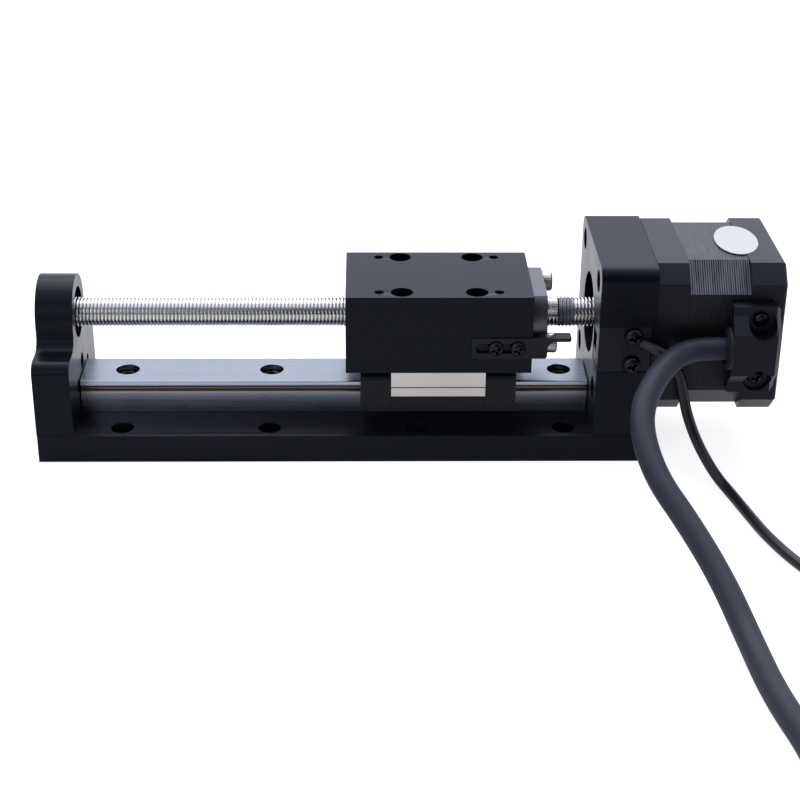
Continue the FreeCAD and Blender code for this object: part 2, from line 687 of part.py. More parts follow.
def build_carriage():
    """Steel block with a retainer under each leg, and a cap and a seal at each end."""
    outer = d.carriage_wide / 2
    inner = d.rail_wide / 2 + d.rail_play
    roof = d.rail_high + d.rail_play
    steel = [
        (-outer, d.steel_low),
        (-inner, d.steel_low),
        (-inner, roof),
        (inner, roof),
        (inner, d.steel_low),
        (outer, d.steel_low),
        (outer, d.carriage_high),
        (-outer, d.carriage_high),
    ]
    body = extruded("carriage_block", "YZ_Plane", steel, d.steel_long)
    clamps = [(d.steel_long / 2 + across, up) for across, up in clamp_places()]
    drill(body, "XY_Plane", d.carriage_high, clamps, small_tap,
          d.clamp_screw_long - d.clamp_floor + CUT_PAST / 2)
    steel_start = d.table_rest - d.steel_long / 2
    place(body, steel_start, 0, d.base_thick)

    skin = outer - d.cap_inset
    rib_level = (d.groove_low + d.groove_high) / 2
    rib = inner - d.groove_deep
    for side, name in zip(BOTH_SIDES, ("carriage_retainer_front", "carriage_retainer_rear")):
        section = [
            (inner * side, d.carriage_lift),
            (skin * side, d.carriage_lift),
            (skin * side, d.steel_low),
            (inner * side, d.steel_low),
            (inner * side, rib_level + d.rib_root / 2),
            (rib * side, rib_level + d.rib_tip / 2),
            (rib * side, rib_level - d.rib_tip / 2),
            (inner * side, rib_level - d.rib_root / 2),
        ]
        retainer = extruded(name, "YZ_Plane", section, d.steel_long)
        place(retainer, steel_start, 0, d.base_thick)

    cap_top = d.carriage_high - d.cap_drop
    end = [
        (-skin, d.carriage_lift),
        (-inner, d.carriage_lift),
        (-inner, roof),
        (inner, roof),
        (inner, d.carriage_lift),
        (skin, d.carriage_lift),
        (skin, cap_top),
        (-skin, cap_top),
    ]
    cap_long = (d.carriage_long - d.steel_long) / 2 - d.seal_thick
    for side, name in zip(BOTH_SIDES, ("left", "right")):
        for piece, long, start in (("end_cap", cap_long, d.steel_long / 2),
                                   ("end_seal", d.seal_thick, d.steel_long / 2 + cap_long)):
            body = extruded("carriage_{}_{}".format(piece, name), "YZ_Plane", end, long)
            soften(body, "Fillet", d.cap_round,
                   lambda edge: runs_along(edge, AXIS_X) and near(edge.CenterOfMass.z, cap_top))
            near_end = start if side > 0 else -start - long
            place(body, d.table_rest + near_end, 0, d.base_thick)


def clamp_places():
    """The screws from the table into the carriage, from the table's centre."""
    return [(d.clamp_pitch_long / 2 * side, d.clamp_pitch_wide / 2 * level)
            for side in BOTH_SIDES for level in BOTH_SIDES]


def nut_screw_places():
    """The nut's screws, across and up from the screw axis."""
    cosine, sine = turned_by(d.nut_angle)
    out = d.nut_circle / 2
    return [(out * cosine * side, out * sine * level) for side in BOTH_SIDES
            for level in BOTH_SIDES]


def build_table():
    end = d.table_long / 2
    body = extruded("slide_table", "XY_Plane", box_points(-end, -table_side, end, table_side),
                    d.table_high)
    drill(body, "XY_Plane", d.table_high, clamp_places(), d.small_hole, d.table_high)
    drill(body, "XY_Plane", d.table_high, clamp_places(), d.small_sink,
          d.table_high - d.clamp_floor)
    payload = [(d.payload_pitch_long / 2 * side, d.clamp_pitch_wide / 2 * level)
               for side in BOTH_SIDES for level in BOTH_SIDES]
    drill(body, "XY_Plane", d.table_high, payload, d.payload_hole, d.payload_deep)
    level = axis_z - table_z
    bore_deep = d.nut_long - d.nut_flange_thick + CUT_PAST
    drill(body, "YZ_Plane", end, [(0, level)], d.nut_body + d.nut_play * 2, bore_deep)
    drill(body, "YZ_Plane", end, [(0, level)], d.shaft_relief, d.table_long)
    taps = [(across, level + up) for across, up in nut_screw_places()]
    drill(body, "YZ_Plane", end, taps, small_tap,
          d.nut_screw_long - d.nut_flange_thick + CUT_PAST)
    recess_start = flag_start() - d.table_rest - d.sensor_play
    mill(body, "XZ_Plane", table_side,
         box_points(recess_start, d.flag_low - d.sensor_play, end,
                    d.flag_low + d.flag_high + d.sensor_play), d.flag_sunk)
    screws = [(along - d.table_rest, up - table_z) for along, up in flag_screw_places()]
    drill(body, "XZ_Plane", table_side, screws, flag_tap,
          d.flag_sunk + d.flag_screw_grip + CUT_PAST / 2)
    place(body, d.table_rest, 0, table_z)


def flag_screw_places():
    """The flag's screws along X and up from the ground, beside the last table screw."""
    middle = table_z + d.flag_low + d.flag_high / 2
    counterbore_end = d.table_rest + d.clamp_pitch_long / 2 + d.small_sink / 2
    first = counterbore_end + d.flag_screw_wall + d.flag_shank / 2
    return [(first, middle), (first + d.flag_screw_pitch, middle)]


def flag_start():
    """The flag plate's end next to the table's middle."""
    return flag_screw_places()[0][0] - d.flag_screw_first


def build_nut():
    """Body and flange from the flange's outer face at x = 0 back into the table."""
    outer = d.nut_flange / 2
    flat = d.nut_flats / 2
    width = root(outer * outer - flat * flat)
    body = new_body("ball_nut")
    sketch = new_sketch(body, "YZ_Plane", -d.nut_flange_thick)
    draw_outline(sketch, box_points(-width, -flat, width, flat),
                 {1: ((0, 0), "X", False), 3: ((0, 0), "X", False)})
    pad(body, sketch, d.nut_flange_thick)
    sketch = new_sketch(body, "YZ_Plane", -d.nut_long)
    draw_circles(sketch, [(0, 0)], d.nut_body)
    pad(body, sketch, d.nut_long - d.nut_flange_thick)
    drill(body, "YZ_Plane", 0, [(0, 0)], d.screw_size + d.screw_play * 2, d.nut_long)
    drill(body, "YZ_Plane", 0, [(0, 0)], d.wiper_wide, d.wiper_long)
    drill(body, "YZ_Plane", -d.nut_long, [(0, 0)], d.wiper_wide, d.wiper_long, backwards=True)
    drill(body, "YZ_Plane", 0, nut_screw_places(), d.small_hole, d.nut_flange_thick)
    nut_face = table_right + d.nut_flange_thick
    place(body, nut_face, 0, axis_z)

    for name, start in (("nut_wiper_right", nut_face - d.wiper_long),
                        ("nut_wiper_left", nut_face - d.nut_long)):
        wiper = ring(name, d.wiper_long, d.screw_size + d.screw_play * 2, d.wiper_wide)
        place(wiper, start, 0, axis_z)


def build_screw():
    """Thread, journals and the rotor's shaft, turned in one piece."""
    thin = d.journal / 2
    thick = d.screw_size / 2
    groove = thin - d.circlip_groove
    clip_outer = left_in - d.end_bearing_sunk - d.end_bearing_long
    clip_inner = clip_outer - d.circlip_thick
    thread_start = left_in - d.screw_start
    thread_end = base_end - d.thread_end
    shaft_end = base_end + motor_long() - d.shaft_end_gap - rear_wall()
    profile = [
        (clip_inner - d.circlip_thick, 0),
        (shaft_end, 0),
        (shaft_end, thin),
        (thread_end, thin),
        (thread_end, thick),
        (thread_start, thick),
        (thread_start, thin),
        (clip_outer, thin),
        (clip_outer, groove),
        (clip_inner, groove),
        (clip_inner, thin),
        (clip_inner - d.circlip_thick, thin),
    ]
    place(turned("ball_screw", profile), 0, 0, axis_z)
    clip = ring("screw_circlip", d.circlip_thick, groove * 2 + d.bearing_play, d.circlip_wide)
    place(clip, clip_inner, 0, axis_z)


def motor_long():
    return d.motor_front + d.stator_long + d.motor_rear


def rear_wall():
    """What is left of the rear cap behind its bearing."""
    return d.motor_rear - d.winding_room_deep - d.motor_bearing_long


def build_bearing(name, start, outside, long):
    """Outer ring, inner ring and two shields of one deep groove bearing."""
    outer = ring(name + "_outer_ring", long, outside - d.ring_thick * 2, outside)
    place(outer, start, 0, axis_z)
    bore = d.journal + d.bearing_play * 2
    inner = ring(name + "_inner_ring", long, bore, d.journal + d.ring_thick * 2)
    place(inner, start, 0, axis_z)
    shield_bore = (d.journal / 2 + d.ring_thick + d.screw_play).number
    shield_outside = (outside / 2 - d.ring_thick).number
    shields = []
    for side_start in (start, start + long - d.shield_thick):
        centre = Vector(side_start.number, 0, axis_z.number)
        disc = Part.makeCylinder(shield_outside, d.shield_thick.number, centre, AXIS_X)
        hole = Part.makeCylinder(shield_bore, d.shield_thick.number, centre, AXIS_X)
        shields.append(disc.cut(hole))
    group(name + "_shields", shields)


def chamfered_square(square, corner):
    """A square about the axis with its corners cut off."""
    half = square / 2
    flat = half - corner
    return [
        (-flat, -half),
        (flat, -half),
        (half, -flat),
        (half, flat),
        (flat, half),
        (-flat, half),
        (-half, flat),
        (-half, -flat),
    ]


def build_motor():
    flange_end = base_end + d.motor_front
    stator_end = flange_end + d.stator_long
    bolts = corners(d.motor_pitch / 2)
    centre = [(0, 0)]
    seat = d.motor_bearing_wide + d.bearing_play * 2

    front = extruded("motor_front_flange", "YZ_Plane",
                     chamfered_square(d.motor_square, d.motor_corner), d.motor_front)
    sketch = new_sketch(front, "YZ_Plane", 0)
    draw_circles(sketch, centre, d.pilot)
    pad(front, sketch, d.pilot_high, backwards=True)
    drill(front, "YZ_Plane", d.motor_front, centre, d.shaft_relief, d.motor_front + d.pilot_high)
    drill(front, "YZ_Plane", d.motor_front, centre, seat, d.motor_front - d.front_seat)
    drill(front, "YZ_Plane", d.motor_front, centre, d.winding_room, d.winding_room_deep)
    drill(front, "YZ_Plane", d.motor_front, bolts, small_tap, d.motor_front)
    place(front, base_end, 0, axis_z)

    stator = extruded("motor_stator", "YZ_Plane",
                      chamfered_square(d.stator_square, d.stator_corner), d.stator_long)
    drill(stator, "YZ_Plane", d.stator_long, centre, d.rotor_wide + d.air_gap * 2, d.stator_long)
    drill(stator, "YZ_Plane", d.stator_long, bolts, d.small_hole, d.stator_long)
    place(stator, flange_end, 0, axis_z)

    for name, start in (("motor_winding_front", flange_end - d.winding_long),
                        ("motor_winding_rear", stator_end)):
        winding = ring(name, d.winding_long, d.winding_bore, d.winding_wide)
        place(winding, start, 0, axis_z)

    rear = extruded("motor_rear_cap", "YZ_Plane",
                    chamfered_square(d.motor_square, d.motor_corner), d.motor_rear)
    soften(rear, "Fillet", d.motor_rear_round, lambda edge: near(edge.CenterOfMass.x, d.motor_rear))
    drill(rear, "YZ_Plane", 0, centre, d.winding_room, d.winding_room_deep, backwards=True)
    seat_deep = d.motor_rear - rear_wall()
    drill(rear, "YZ_Plane", 0, centre, seat, seat_deep, backwards=True)
    drill(rear, "YZ_Plane", 0, centre, d.shaft_relief, seat_deep + d.shaft_end_gap,
          backwards=True)
    drill(rear, "YZ_Plane", 0, bolts, d.small_hole, d.motor_rear, backwards=True)
    drill(rear, "YZ_Plane", d.motor_rear, bolts, d.small_sink, d.body_sink_deep)
    gland_along = gland_start() + d.gland_screw_along - stator_end
    screws = [(gland_along, level - axis_z) for level in gland_screw_levels()]
    drill(rear, "XZ_Plane", d.motor_square / 2, screws, pan_tap,
          d.gland_screw_grip + CUT_PAST / 2)
    place(rear, stator_end, 0, axis_z)

    rotor = ring("motor_rotor", d.rotor_long, d.journal + d.bearing_play * 2, d.rotor_wide)
    place(rotor, flange_end + (d.stator_long - d.rotor_long) / 2, 0, axis_z)

    build_bearing("motor_front_bearing", base_end + d.front_seat, d.motor_bearing_wide,
                  d.motor_bearing_long)
    build_bearing("motor_rear_bearing", stator_end + d.winding_room_deep, d.motor_bearing_wide,
                  d.motor_bearing_long)


def gland_start():
    return base_end + motor_long() - d.gland_from_end - d.gland_long


def gland_screw_levels():
    middle = axis_z - d.gland_drop
    return [middle - d.gland_screw_out, middle + d.gland_screw_out]


def gland_cable_out():
    """The cable's axis from the motor's side face, in the middle of the gland's depth."""
    return d.gland_deep / 2


def cable_level():
    """The motor cable's height where it leaves the gland."""
    return axis_z - d.gland_drop + d.cable_over_gland


def build_gland():
    """Housing with two ears, its screw wells, and the grommet round the cable."""
    half = d.gland_high / 2
    ear_low = half - d.gland_ear_high
    front_half = ear_low - (d.gland_deep - d.gland_ear)
    section = [
        (0, -half),
        (0, half),
        (-d.gland_ear, half),
        (-d.gland_ear, ear_low),
        (-d.gland_deep, front_half),
        (-d.gland_deep, -front_half),
        (-d.gland_ear, -ear_low),
        (-d.gland_ear, -half),
    ]
    body = extruded("cable_gland_housing", "YZ_Plane", section, d.gland_long)
    soften(body, "Chamfer", d.gland_bevel,
           lambda edge: near(edge.CenterOfMass.x, d.gland_long)
           and not near(edge.CenterOfMass.y, 0))
    drill(body, "YZ_Plane", 0, [(-gland_cable_out(), d.cable_over_gland)], d.motor_cable,
          d.cable_seat, backwards=True)
    wells = [(d.gland_screw_along, d.gland_screw_out * side) for side in BOTH_SIDES]
    drill(body, "XZ_Plane", d.gland_deep, wells, d.gland_sink, d.gland_deep - d.gland_floor)
    drill(body, "XZ_Plane", d.gland_deep, wells, pan_tap, d.gland_deep)
    place(body, gland_start(), -d.motor_square / 2, axis_z - d.gland_drop)

    hole = d.motor_cable / 2 + d.grommet_play
    rim = d.grommet_wide / 2
    grommet = turned("cable_grommet", [
        (d.grommet_mouth_deep, hole),
        (0, d.grommet_mouth / 2),
        (d.grommet_slope, rim),
        (d.grommet_long, rim),
        (d.grommet_long, hole),
    ])
    past = rim + CUT_PAST
    mill(grommet, "YZ_Plane", d.grommet_long,
         box_points(gland_cable_out(), -past, past, past), d.grommet_long)
    place(grommet, gland_start() - d.grommet_long, -d.motor_square / 2 - gland_cable_out(),
          cable_level())


def build_label():
    """The thin oval that is stuck on the motor's top."""
    centre = Vector(base_end.number + motor_long().number - d.label_from_end.number,
                    d.label_off.number, axis_z.number + d.motor_square.number / 2)
    oval = Part.Ellipse(Vector(0, 0, 0), d.label_wide.number / 2, d.label_long.number / 2)
    face = Part.Face(Part.Wire([oval.toShape()]))
    feature = doc.addObject("Part::Feature", "motor_label")
    feature.Label = "motor_label"
    feature.Shape = face.extrude(AXIS_Z * d.label_thick.number)
    feature.Placement = Placement(centre, Rotation(AXIS_Z, 90 + d.label_turn.number))
    sub_parts.append(feature)


def sensor_screw_levels():
    """The sensor's screws above the ground."""
    middle = axis_z - d.sensor_under_axis - d.sensor_screw_drop
    return [middle + d.sensor_screw_pitch / 2 * side for side in BOTH_SIDES]


def build_sensor():
    """A fork that opens away from the front, on a foot with two screw holes."""
    half = d.sensor_high / 2
    gap = d.fork_gap / 2
    fork = [
        (0, -half),
        (d.fork_deep, -half),
        (d.fork_deep, -gap),
        (d.foot_deep, -gap),
        (d.foot_deep, gap),
        (d.fork_deep, gap),
        (d.fork_deep, half),
        (0, half),
    ]
    body = extruded("home_sensor", "YZ_Plane", fork, d.fork_long)
    sketch = new_sketch(body, "YZ_Plane", d.fork_long)
    draw_outline(sketch, box_points(d.foot_back, -half, d.foot_deep, half))
    pad(body, sketch, d.sensor_long - d.fork_long)
    along = d.sensor_screw_along - d.sensor_play
    screws = [(along, level - axis_z + d.sensor_under_axis) for level in sensor_screw_levels()]
    drill(body, "XZ_Plane", 0, screws, pan_tap, d.foot_deep)
    place(body, right_in + d.sensor_play, -base_side, axis_z - d.sensor_under_axis)


def build_flag():
    """Bent sheet: the slotted plate, an arm and the tab that reaches into the fork."""
    neck = d.flag_long + d.flag_neck
    arm_end = d.flag_long + d.flag_arm
    arm_low = d.flag_high - d.flag_arm_high
    outline = [
        (0, 0),
        (d.flag_long, 0),
        (d.flag_long, arm_low - d.flag_neck),
        (neck, arm_low),
        (arm_end, arm_low),
        (arm_end, d.flag_high),
        (0, d.flag_high),
    ]
    hollow = {2: ((neck, arm_low - d.flag_neck), "X", True)}
    body = extruded("home_flag", "XZ_Plane", outline, d.flag_thick, hollow)
    sketch = new_sketch(body, "XY_Plane", arm_low)
    tab_start = arm_end - d.flag_tab_long
    draw_outline(sketch, [
        (d.flag_long, -d.flag_thick),
        (arm_end, -d.flag_thick),
        (arm_end, d.flag_tab_deep - d.flag_thick),
        (tab_start, d.flag_tab_deep - d.flag_thick),
    ])
    pad(body, sketch, d.flag_arm_high)
    middle = d.flag_high / 2
    radius = d.flag_slot_high / 2
    slot_start = d.flag_slot_from_end + radius
    slot_end = d.flag_slot_from_end + d.flag_slot_long - radius
    sketch = new_sketch(body, "XZ_Plane", d.flag_thick)
    draw_outline(sketch, box_points(slot_start, middle - radius, slot_end, middle + radius),
                 {1: ((slot_end, middle), "X", False), 3: ((slot_start, middle), "X", False)})
    cut(body, sketch, d.flag_thick)
    soften(body, "Fillet", d.flag_round,
           lambda edge: (runs_along(edge, AXIS_Y) and near(edge.CenterOfMass.x, d.flag_long)
                         and near(edge.CenterOfMass.z, 0))
           or (runs_along(edge, AXIS_Z) and near(edge.CenterOfMass.x, arm_end)))
    place(body, flag_start(), -table_side + d.flag_sunk, table_z + d.flag_low)


def build_screws():
    """The screws, each set as one sub-part of separate solids."""
    small = (d.small_head, d.small_head_high)
    down = -AXIS_Z

    rail_seat = d.base_thick + d.rail_high - d.rail_sink_deep
    group("rail_screws", [
        headed_screw(Vector(along.number, 0, rail_seat.number), down, d.small_shank,
                     d.rail_screw_long, *small)
        for along in rail_hole_places()])

    clamp_seat = table_z + d.clamp_floor
    group("table_screws", [
        headed_screw(Vector((d.table_rest + along).number, across.number, clamp_seat.number),
                     down, d.small_shank, d.clamp_screw_long, *small)
        for along, across in clamp_places()])

    foot_screw_long = d.base_thick - d.foot_sink_deep + d.foot_screw_deep - CUT_PAST
    group("foot_screws", [
        headed_screw(Vector(along.number, across.number, d.foot_sink_deep.number), AXIS_Z,
                     d.foot_shank, foot_screw_long, d.foot_head, d.foot_head_high)
        for along, across in foot_screw_places()])

    nut_face = table_right + d.nut_flange_thick
    washer_face = nut_face + d.washer_thick
    nut_places = [(across.number, (axis_z + up).number) for across, up in nut_screw_places()]
    group("nut_screws", [
        headed_screw(Vector(washer_face.number, across, up), -AXIS_X, d.small_shank,
                     d.nut_screw_long, d.small_head, d.nut_head_high)
        for across, up in nut_places])
    washers = []
    for across, up in nut_places:
        centre = Vector(nut_face.number, across, up)
        disc = Part.makeCylinder(d.washer_wide.number / 2, d.washer_thick.number, centre, AXIS_X)
        hole = Part.makeCylinder(small_tap.number / 2, d.washer_thick.number, centre, AXIS_X)
        washers.append(disc.cut(hole))
    group("nut_washers", washers)

    bolts = [(across.number, (axis_z + up).number) for across, up in corners(d.motor_pitch / 2)]
    bracket_seat = right_in + d.bracket_sink_deep
    group("motor_screws", [
        headed_screw(Vector(bracket_seat.number, across, up), AXIS_X, d.small_shank,
                     d.motor_screw_long, *small)
        for across, up in bolts])
    body_seat = base_end + motor_long() - d.body_sink_deep
    body_screw_long = body_seat - bracket_seat - d.motor_screw_long - d.body_screw_gap
    group("motor_body_screws", [
        headed_screw(Vector(body_seat.number, across, up), -AXIS_X, d.small_shank,
                     body_screw_long, *small)
        for across, up in bolts])

    gland_along = gland_start() + d.gland_screw_along
    gland_seat = -d.motor_square / 2 - d.gland_floor
    group("gland_screws", [
        headed_screw(Vector(gland_along.number, gland_seat.number, level.number), AXIS_Y,
                     d.pan_shank, d.gland_floor + d.gland_screw_grip, d.gland_head,
                     d.gland_head_high)
        for level in gland_screw_levels()])

    sensor_along = right_in + d.sensor_screw_along
    sensor_seat = d.foot_back - base_side
    group("sensor_screws", [
        headed_screw(Vector(sensor_along.number, sensor_seat.number, up.number), AXIS_Y,
                     d.pan_shank, d.foot_deep - d.foot_back + d.sensor_screw_grip, d.pan_head,
                     d.pan_head_high)
        for up in sensor_screw_levels()])

    flag_seat = -table_side + d.flag_sunk - d.flag_thick
    group("flag_screws", [
        headed_screw(Vector(along.number, flag_seat.number, up.number), AXIS_Y, d.flag_shank,
                     d.flag_thick + d.flag_screw_grip, d.flag_head, d.flag_head_high)
        for along, up in flag_screw_places()])


def bent_path(label, points, diameter):
    """Straight runs joined by tangent arcs, as large as 0.45 of the shorter run allows."""
    edges = []
    at = points[0]
    for before, corner, after in zip(points, points[1:], points[2:]):
        run_in = (corner - before).Length
        run_out = (after - corner).Length
        way_in = (corner - before).normalize()
        way_out = (after - corner).normalize()
        turn = way_in.getAngle(way_out)
        back = BEND_SHARE * min(run_in, run_out)
        radius = back / math.tan(turn / 2)
        print("{}: turn {:.0f} degrees, radius {:.1f} mm, {:.1f} diameters".format(
            label, math.degrees(turn), radius, radius / diameter))
        start = corner - way_in * back
        finish = corner + way_out * back
        inward = (way_out - way_in).normalize()
        middle = corner + inward * (radius / math.cos(turn / 2) - radius)
        edges.append(Part.LineSegment(at, start).toShape())
        edges.append(Part.Arc(start, middle, finish).toShape())
        at = finish
    edges.append(Part.LineSegment(at, points[-1]).toShape())
    return Part.Wire(edges)


def build_cord(label, points, diameter):
    """The plain tube of a cable, checked against its section times its length."""
    path = bent_path(label, points, diameter)
    heading = (points[1] - points[0]).normalize()
    section = Part.Wire([Part.Circle(points[0], heading, diameter / 2).toShape()])
    tube = path.makePipeShell([section], True, True)
    wanted = math.pi * diameter ** 2 / 4 * path.Length
    if abs(tube.Volume / wanted - 1) > VOLUME_ERROR:
        raise RuntimeError("the tube {} has the wrong volume".format(label))
    print("{}: {:.1f} mm long".format(label, path.Length))
    feature = doc.addObject("Part::Feature", label)
    feature.Label = label
    feature.Shape = tube
    sub_parts.append(feature)


def washer(centre, inner, outer, height, angle=FULL_TURN):
    """A ring, or a part of one that starts at the turn behind its centre."""
    turn = Part.makeCylinder(outer, height, centre, AXIS_Z, angle)
    return turn.cut(Part.makeCylinder(inner, height, centre))


def build_coil(name, entry, diameter, outermost, turns, curl, plug):
    """The outer shape of a coil on the floor, with the connector in its middle."""
    half = diameter / 2
    centre = Vector(entry.x + outermost, entry.y - d.coil_lead_in.number, 0)
    innermost = outermost - diameter * turns
    coil = washer(centre, innermost - half, outermost + half, diameter)
    lead = Part.makeBox(diameter, d.coil_lead_in.number, diameter,
                        Vector(entry.x - half, centre.y, 0))
    curl_centre = centre + AXIS_Y * (innermost - curl)
    tail = washer(Vector(0, 0, 0), curl - half, curl + half, diameter, FULL_TURN / 2)
    tail.rotate(Vector(0, 0, 0), AXIS_Z, FULL_TURN / 4)
    tail.translate(curl_centre)
    feature = doc.addObject("Part::Feature", name + "_coil")
    feature.Label = name + "_coil"
    feature.Shape = coil.fuse([lead, tail]).removeSplitter()
    sub_parts.append(feature)
    long, wide, high = [size.number for size in plug]
    corner = Vector(centre.x, centre.y + innermost - curl * 2 - wide / 2, 0)
    feature = doc.addObject("Part::Feature", name + "_connector")
    feature.Label = name + "_connector"
    feature.Shape = Part.makeBox(long, wide, high, corner)
    sub_parts.append(feature)
    length = math.pi * (outermost + innermost) * turns + math.pi * curl + d.coil_lead_in.number
    print("{}_coil: {:.1f} mm of cable".format(name, length))


def route_points(start, route, diameter):
    """The route's points in the shared frame, the last one at the coil."""
    floor = diameter / 2
    return [Vector(start.x + along * diameter, start.y + across * diameter,
                   floor + share * (start.z - floor))
            for along, across, share in route]


def build_cables():
    """Both cables from where they leave the object to their connectors."""
    diameter = d.motor_cable.number
    mouth_along = gland_start() - d.grommet_long
    mouth_across = -d.motor_square / 2 - gland_cable_out()
    mouth = Vector(mouth_along.number, mouth_across.number, cable_level().number)
    inside = mouth + AXIS_X * (d.grommet_long + d.cable_seat).number
    points = [inside] + route_points(mouth, MOTOR_CABLE_ROUTE, diameter)
    build_cord("motor_cable", points, diameter)
    build_coil("motor_cable", points[-1], diameter, d.motor_coil_radius.number,
               MOTOR_COIL_TURNS, d.motor_curl.number,
               (d.motor_plug_long, d.motor_plug_wide, d.motor_plug_high))

    diameter = d.sensor_cable.number
    exit_along = right_in + d.sensor_play + d.sensor_exit_along
    exit_up = axis_z - d.sensor_under_axis + d.sensor_exit_over
    mouth = Vector(exit_along.number, -base_side.number, exit_up.number)
    points = route_points(mouth, SENSOR_CABLE_ROUTE, diameter)
    heading = (points[0] - mouth).normalize()
    points = [mouth - heading * (d.sensor_cable_sunk.number / abs(heading.y))] + points
    build_cord("sensor_cable", points, diameter)
    build_coil("sensor_cable", points[-1], diameter, d.sensor_coil_radius.number,
               SENSOR_COIL_TURNS, d.sensor_curl.number,
               (d.sensor_plug_long, d.sensor_plug_wide, d.sensor_plug_high))


def check_and_write():
    """Stops on any failed object, then writes one file for each sub-part."""
    doc.recompute()
    for item in doc.Objects:
        if "Invalid" in item.State or "Error" in item.State:
            raise RuntimeError("{} failed: {}".format(item.Label, item.State))
    os.makedirs("parts", exist_ok=True)
    for item in sub_parts:
        if item.Shape.isNull() or not item.Shape.isValid():
            raise RuntimeError("{} has no valid shape".format(item.Label))
        item.Shape.exportStep("parts/{}.step".format(item.Label))
        print("{}: {} solids, {:.1f} mm3".format(item.Label, len(item.Shape.Solids),
                                                 item.Shape.Volume))


build_base_plate()
build_end_block()
build_bracket()
build_rail()
build_carriage()
build_table()
build_nut()
build_screw()
build_bearing("end_bearing", left_in - d.end_bearing_sunk - d.end_bearing_long,
              d.end_bearing_wide, d.end_bearing_long)
build_motor()
build_gland()
build_label()
build_sensor()
build_flag()
build_screws()
build_cables()
check_and_write()
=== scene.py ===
import math

import bpy
import numpy as np
from mathutils import Matrix


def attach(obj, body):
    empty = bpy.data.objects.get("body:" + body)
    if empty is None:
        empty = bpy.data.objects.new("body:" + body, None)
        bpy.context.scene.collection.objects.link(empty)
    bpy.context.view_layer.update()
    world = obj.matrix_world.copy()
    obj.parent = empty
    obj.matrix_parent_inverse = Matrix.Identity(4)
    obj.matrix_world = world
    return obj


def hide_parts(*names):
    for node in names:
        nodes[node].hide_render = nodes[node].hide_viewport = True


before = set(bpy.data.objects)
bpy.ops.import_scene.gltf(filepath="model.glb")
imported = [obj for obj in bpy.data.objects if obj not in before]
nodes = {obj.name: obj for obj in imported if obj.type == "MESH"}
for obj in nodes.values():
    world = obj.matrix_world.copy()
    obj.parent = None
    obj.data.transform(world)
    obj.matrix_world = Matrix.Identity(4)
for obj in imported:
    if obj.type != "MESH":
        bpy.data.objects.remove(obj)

# Base plate, end block, motor bracket and slide table
# Four parts milled from aluminium bar, bead-blasted and dyed black in the anodising bath. The
# milled edges are broken, so that each shows as a thin pale line. All sizes in this file are
# in millimetres, in the model's own frame: X towards the motor, Z up.

MM = 0.001
# Edges that turn by more degrees than these are bevelled, and stay sharp after that.
bevelled_turn, smooth_turn = 32, 34
weld_reach = 0.002
noise_low, noise_high = 0.3, 0.7
patches_per_metre = 60.0
cool_sheen = "#e4edff"
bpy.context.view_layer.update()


def linear(hex_colour):
    """An sRGB colour such as #1b1d24 as linear red, green, blue and alpha."""
    parts = [int(hex_colour[i:i + 2], 16) / 255 for i in (1, 3, 5)]
    return [p / 12.92 if p < 0.04045 else ((p + 0.055) / 1.055) ** 2.4 for p in parts] + [1]


def put(tree, kind, inputs=None, **settings):
    """Adds a shader node, sets its values and links its sockets."""
    added = tree.nodes.new(kind)
    for name, value in settings.items():
        setattr(added, name, value)
    for name, value in (inputs or {}).items():
        if isinstance(value, bpy.types.NodeSocket):
            tree.links.new(value, added.inputs[name])
        else:
            added.inputs[name].default_value = value
    return added


def new_finish(name, hex_colour, values):
    """A material with the values on the shader's own sockets; gives it and its parts."""
    material = bpy.data.materials.new(name)
    material.use_nodes = True
    tree = material.node_tree
    shader = tree.nodes["Principled BSDF"]
    shader.inputs["Base Color"].default_value = linear(hex_colour)
    for socket, value in values.items():
        shader.inputs[socket].default_value = value
    where = put(tree, "ShaderNodeTexCoord").outputs["Object"]
    return material, tree, shader, where


def grainy(tree, shader, where, grain, high, low_rough, high_rough, hexes=None):
    """Noise with the grain's real size as bump; a slower one varies roughness and colour.

    The grain and its height are in mm. The slow noise has patches some 17 mm wide.
    """
    fine = put(tree, "ShaderNodeTexNoise", {"Vector": where, "Scale": 1 / (grain * MM),
                                            "Detail": 2.0})
    bump = put(tree, "ShaderNodeBump", {"Height": fine.outputs["Fac"], "Distance": high * MM})
    tree.links.new(bump.outputs["Normal"], shader.inputs["Normal"])
    slow = put(tree, "ShaderNodeTexNoise", {"Vector": where, "Scale": patches_per_metre,
                                            "Detail": 4.0})
    rough = put(tree, "ShaderNodeMapRange", {
        "Value": slow.outputs["Fac"], "From Min": noise_low, "From Max": noise_high,
        "To Min": low_rough, "To Max": high_rough})
    tree.links.new(rough.outputs["Result"], shader.inputs["Roughness"])
    if hexes:
        blend(tree, shader, slow.outputs["Fac"], linear(hexes[0]), linear(hexes[1]))


def blend(tree, shader, share, first, second):
    """The base colour runs from the first to the second colour as the share goes from 0 to 1."""
    mix = put(tree, "ShaderNodeMix", {0: share, 6: first, 7: second}, data_type="RGBA")
    tree.links.new(mix.outputs[2], shader.inputs["Base Color"])


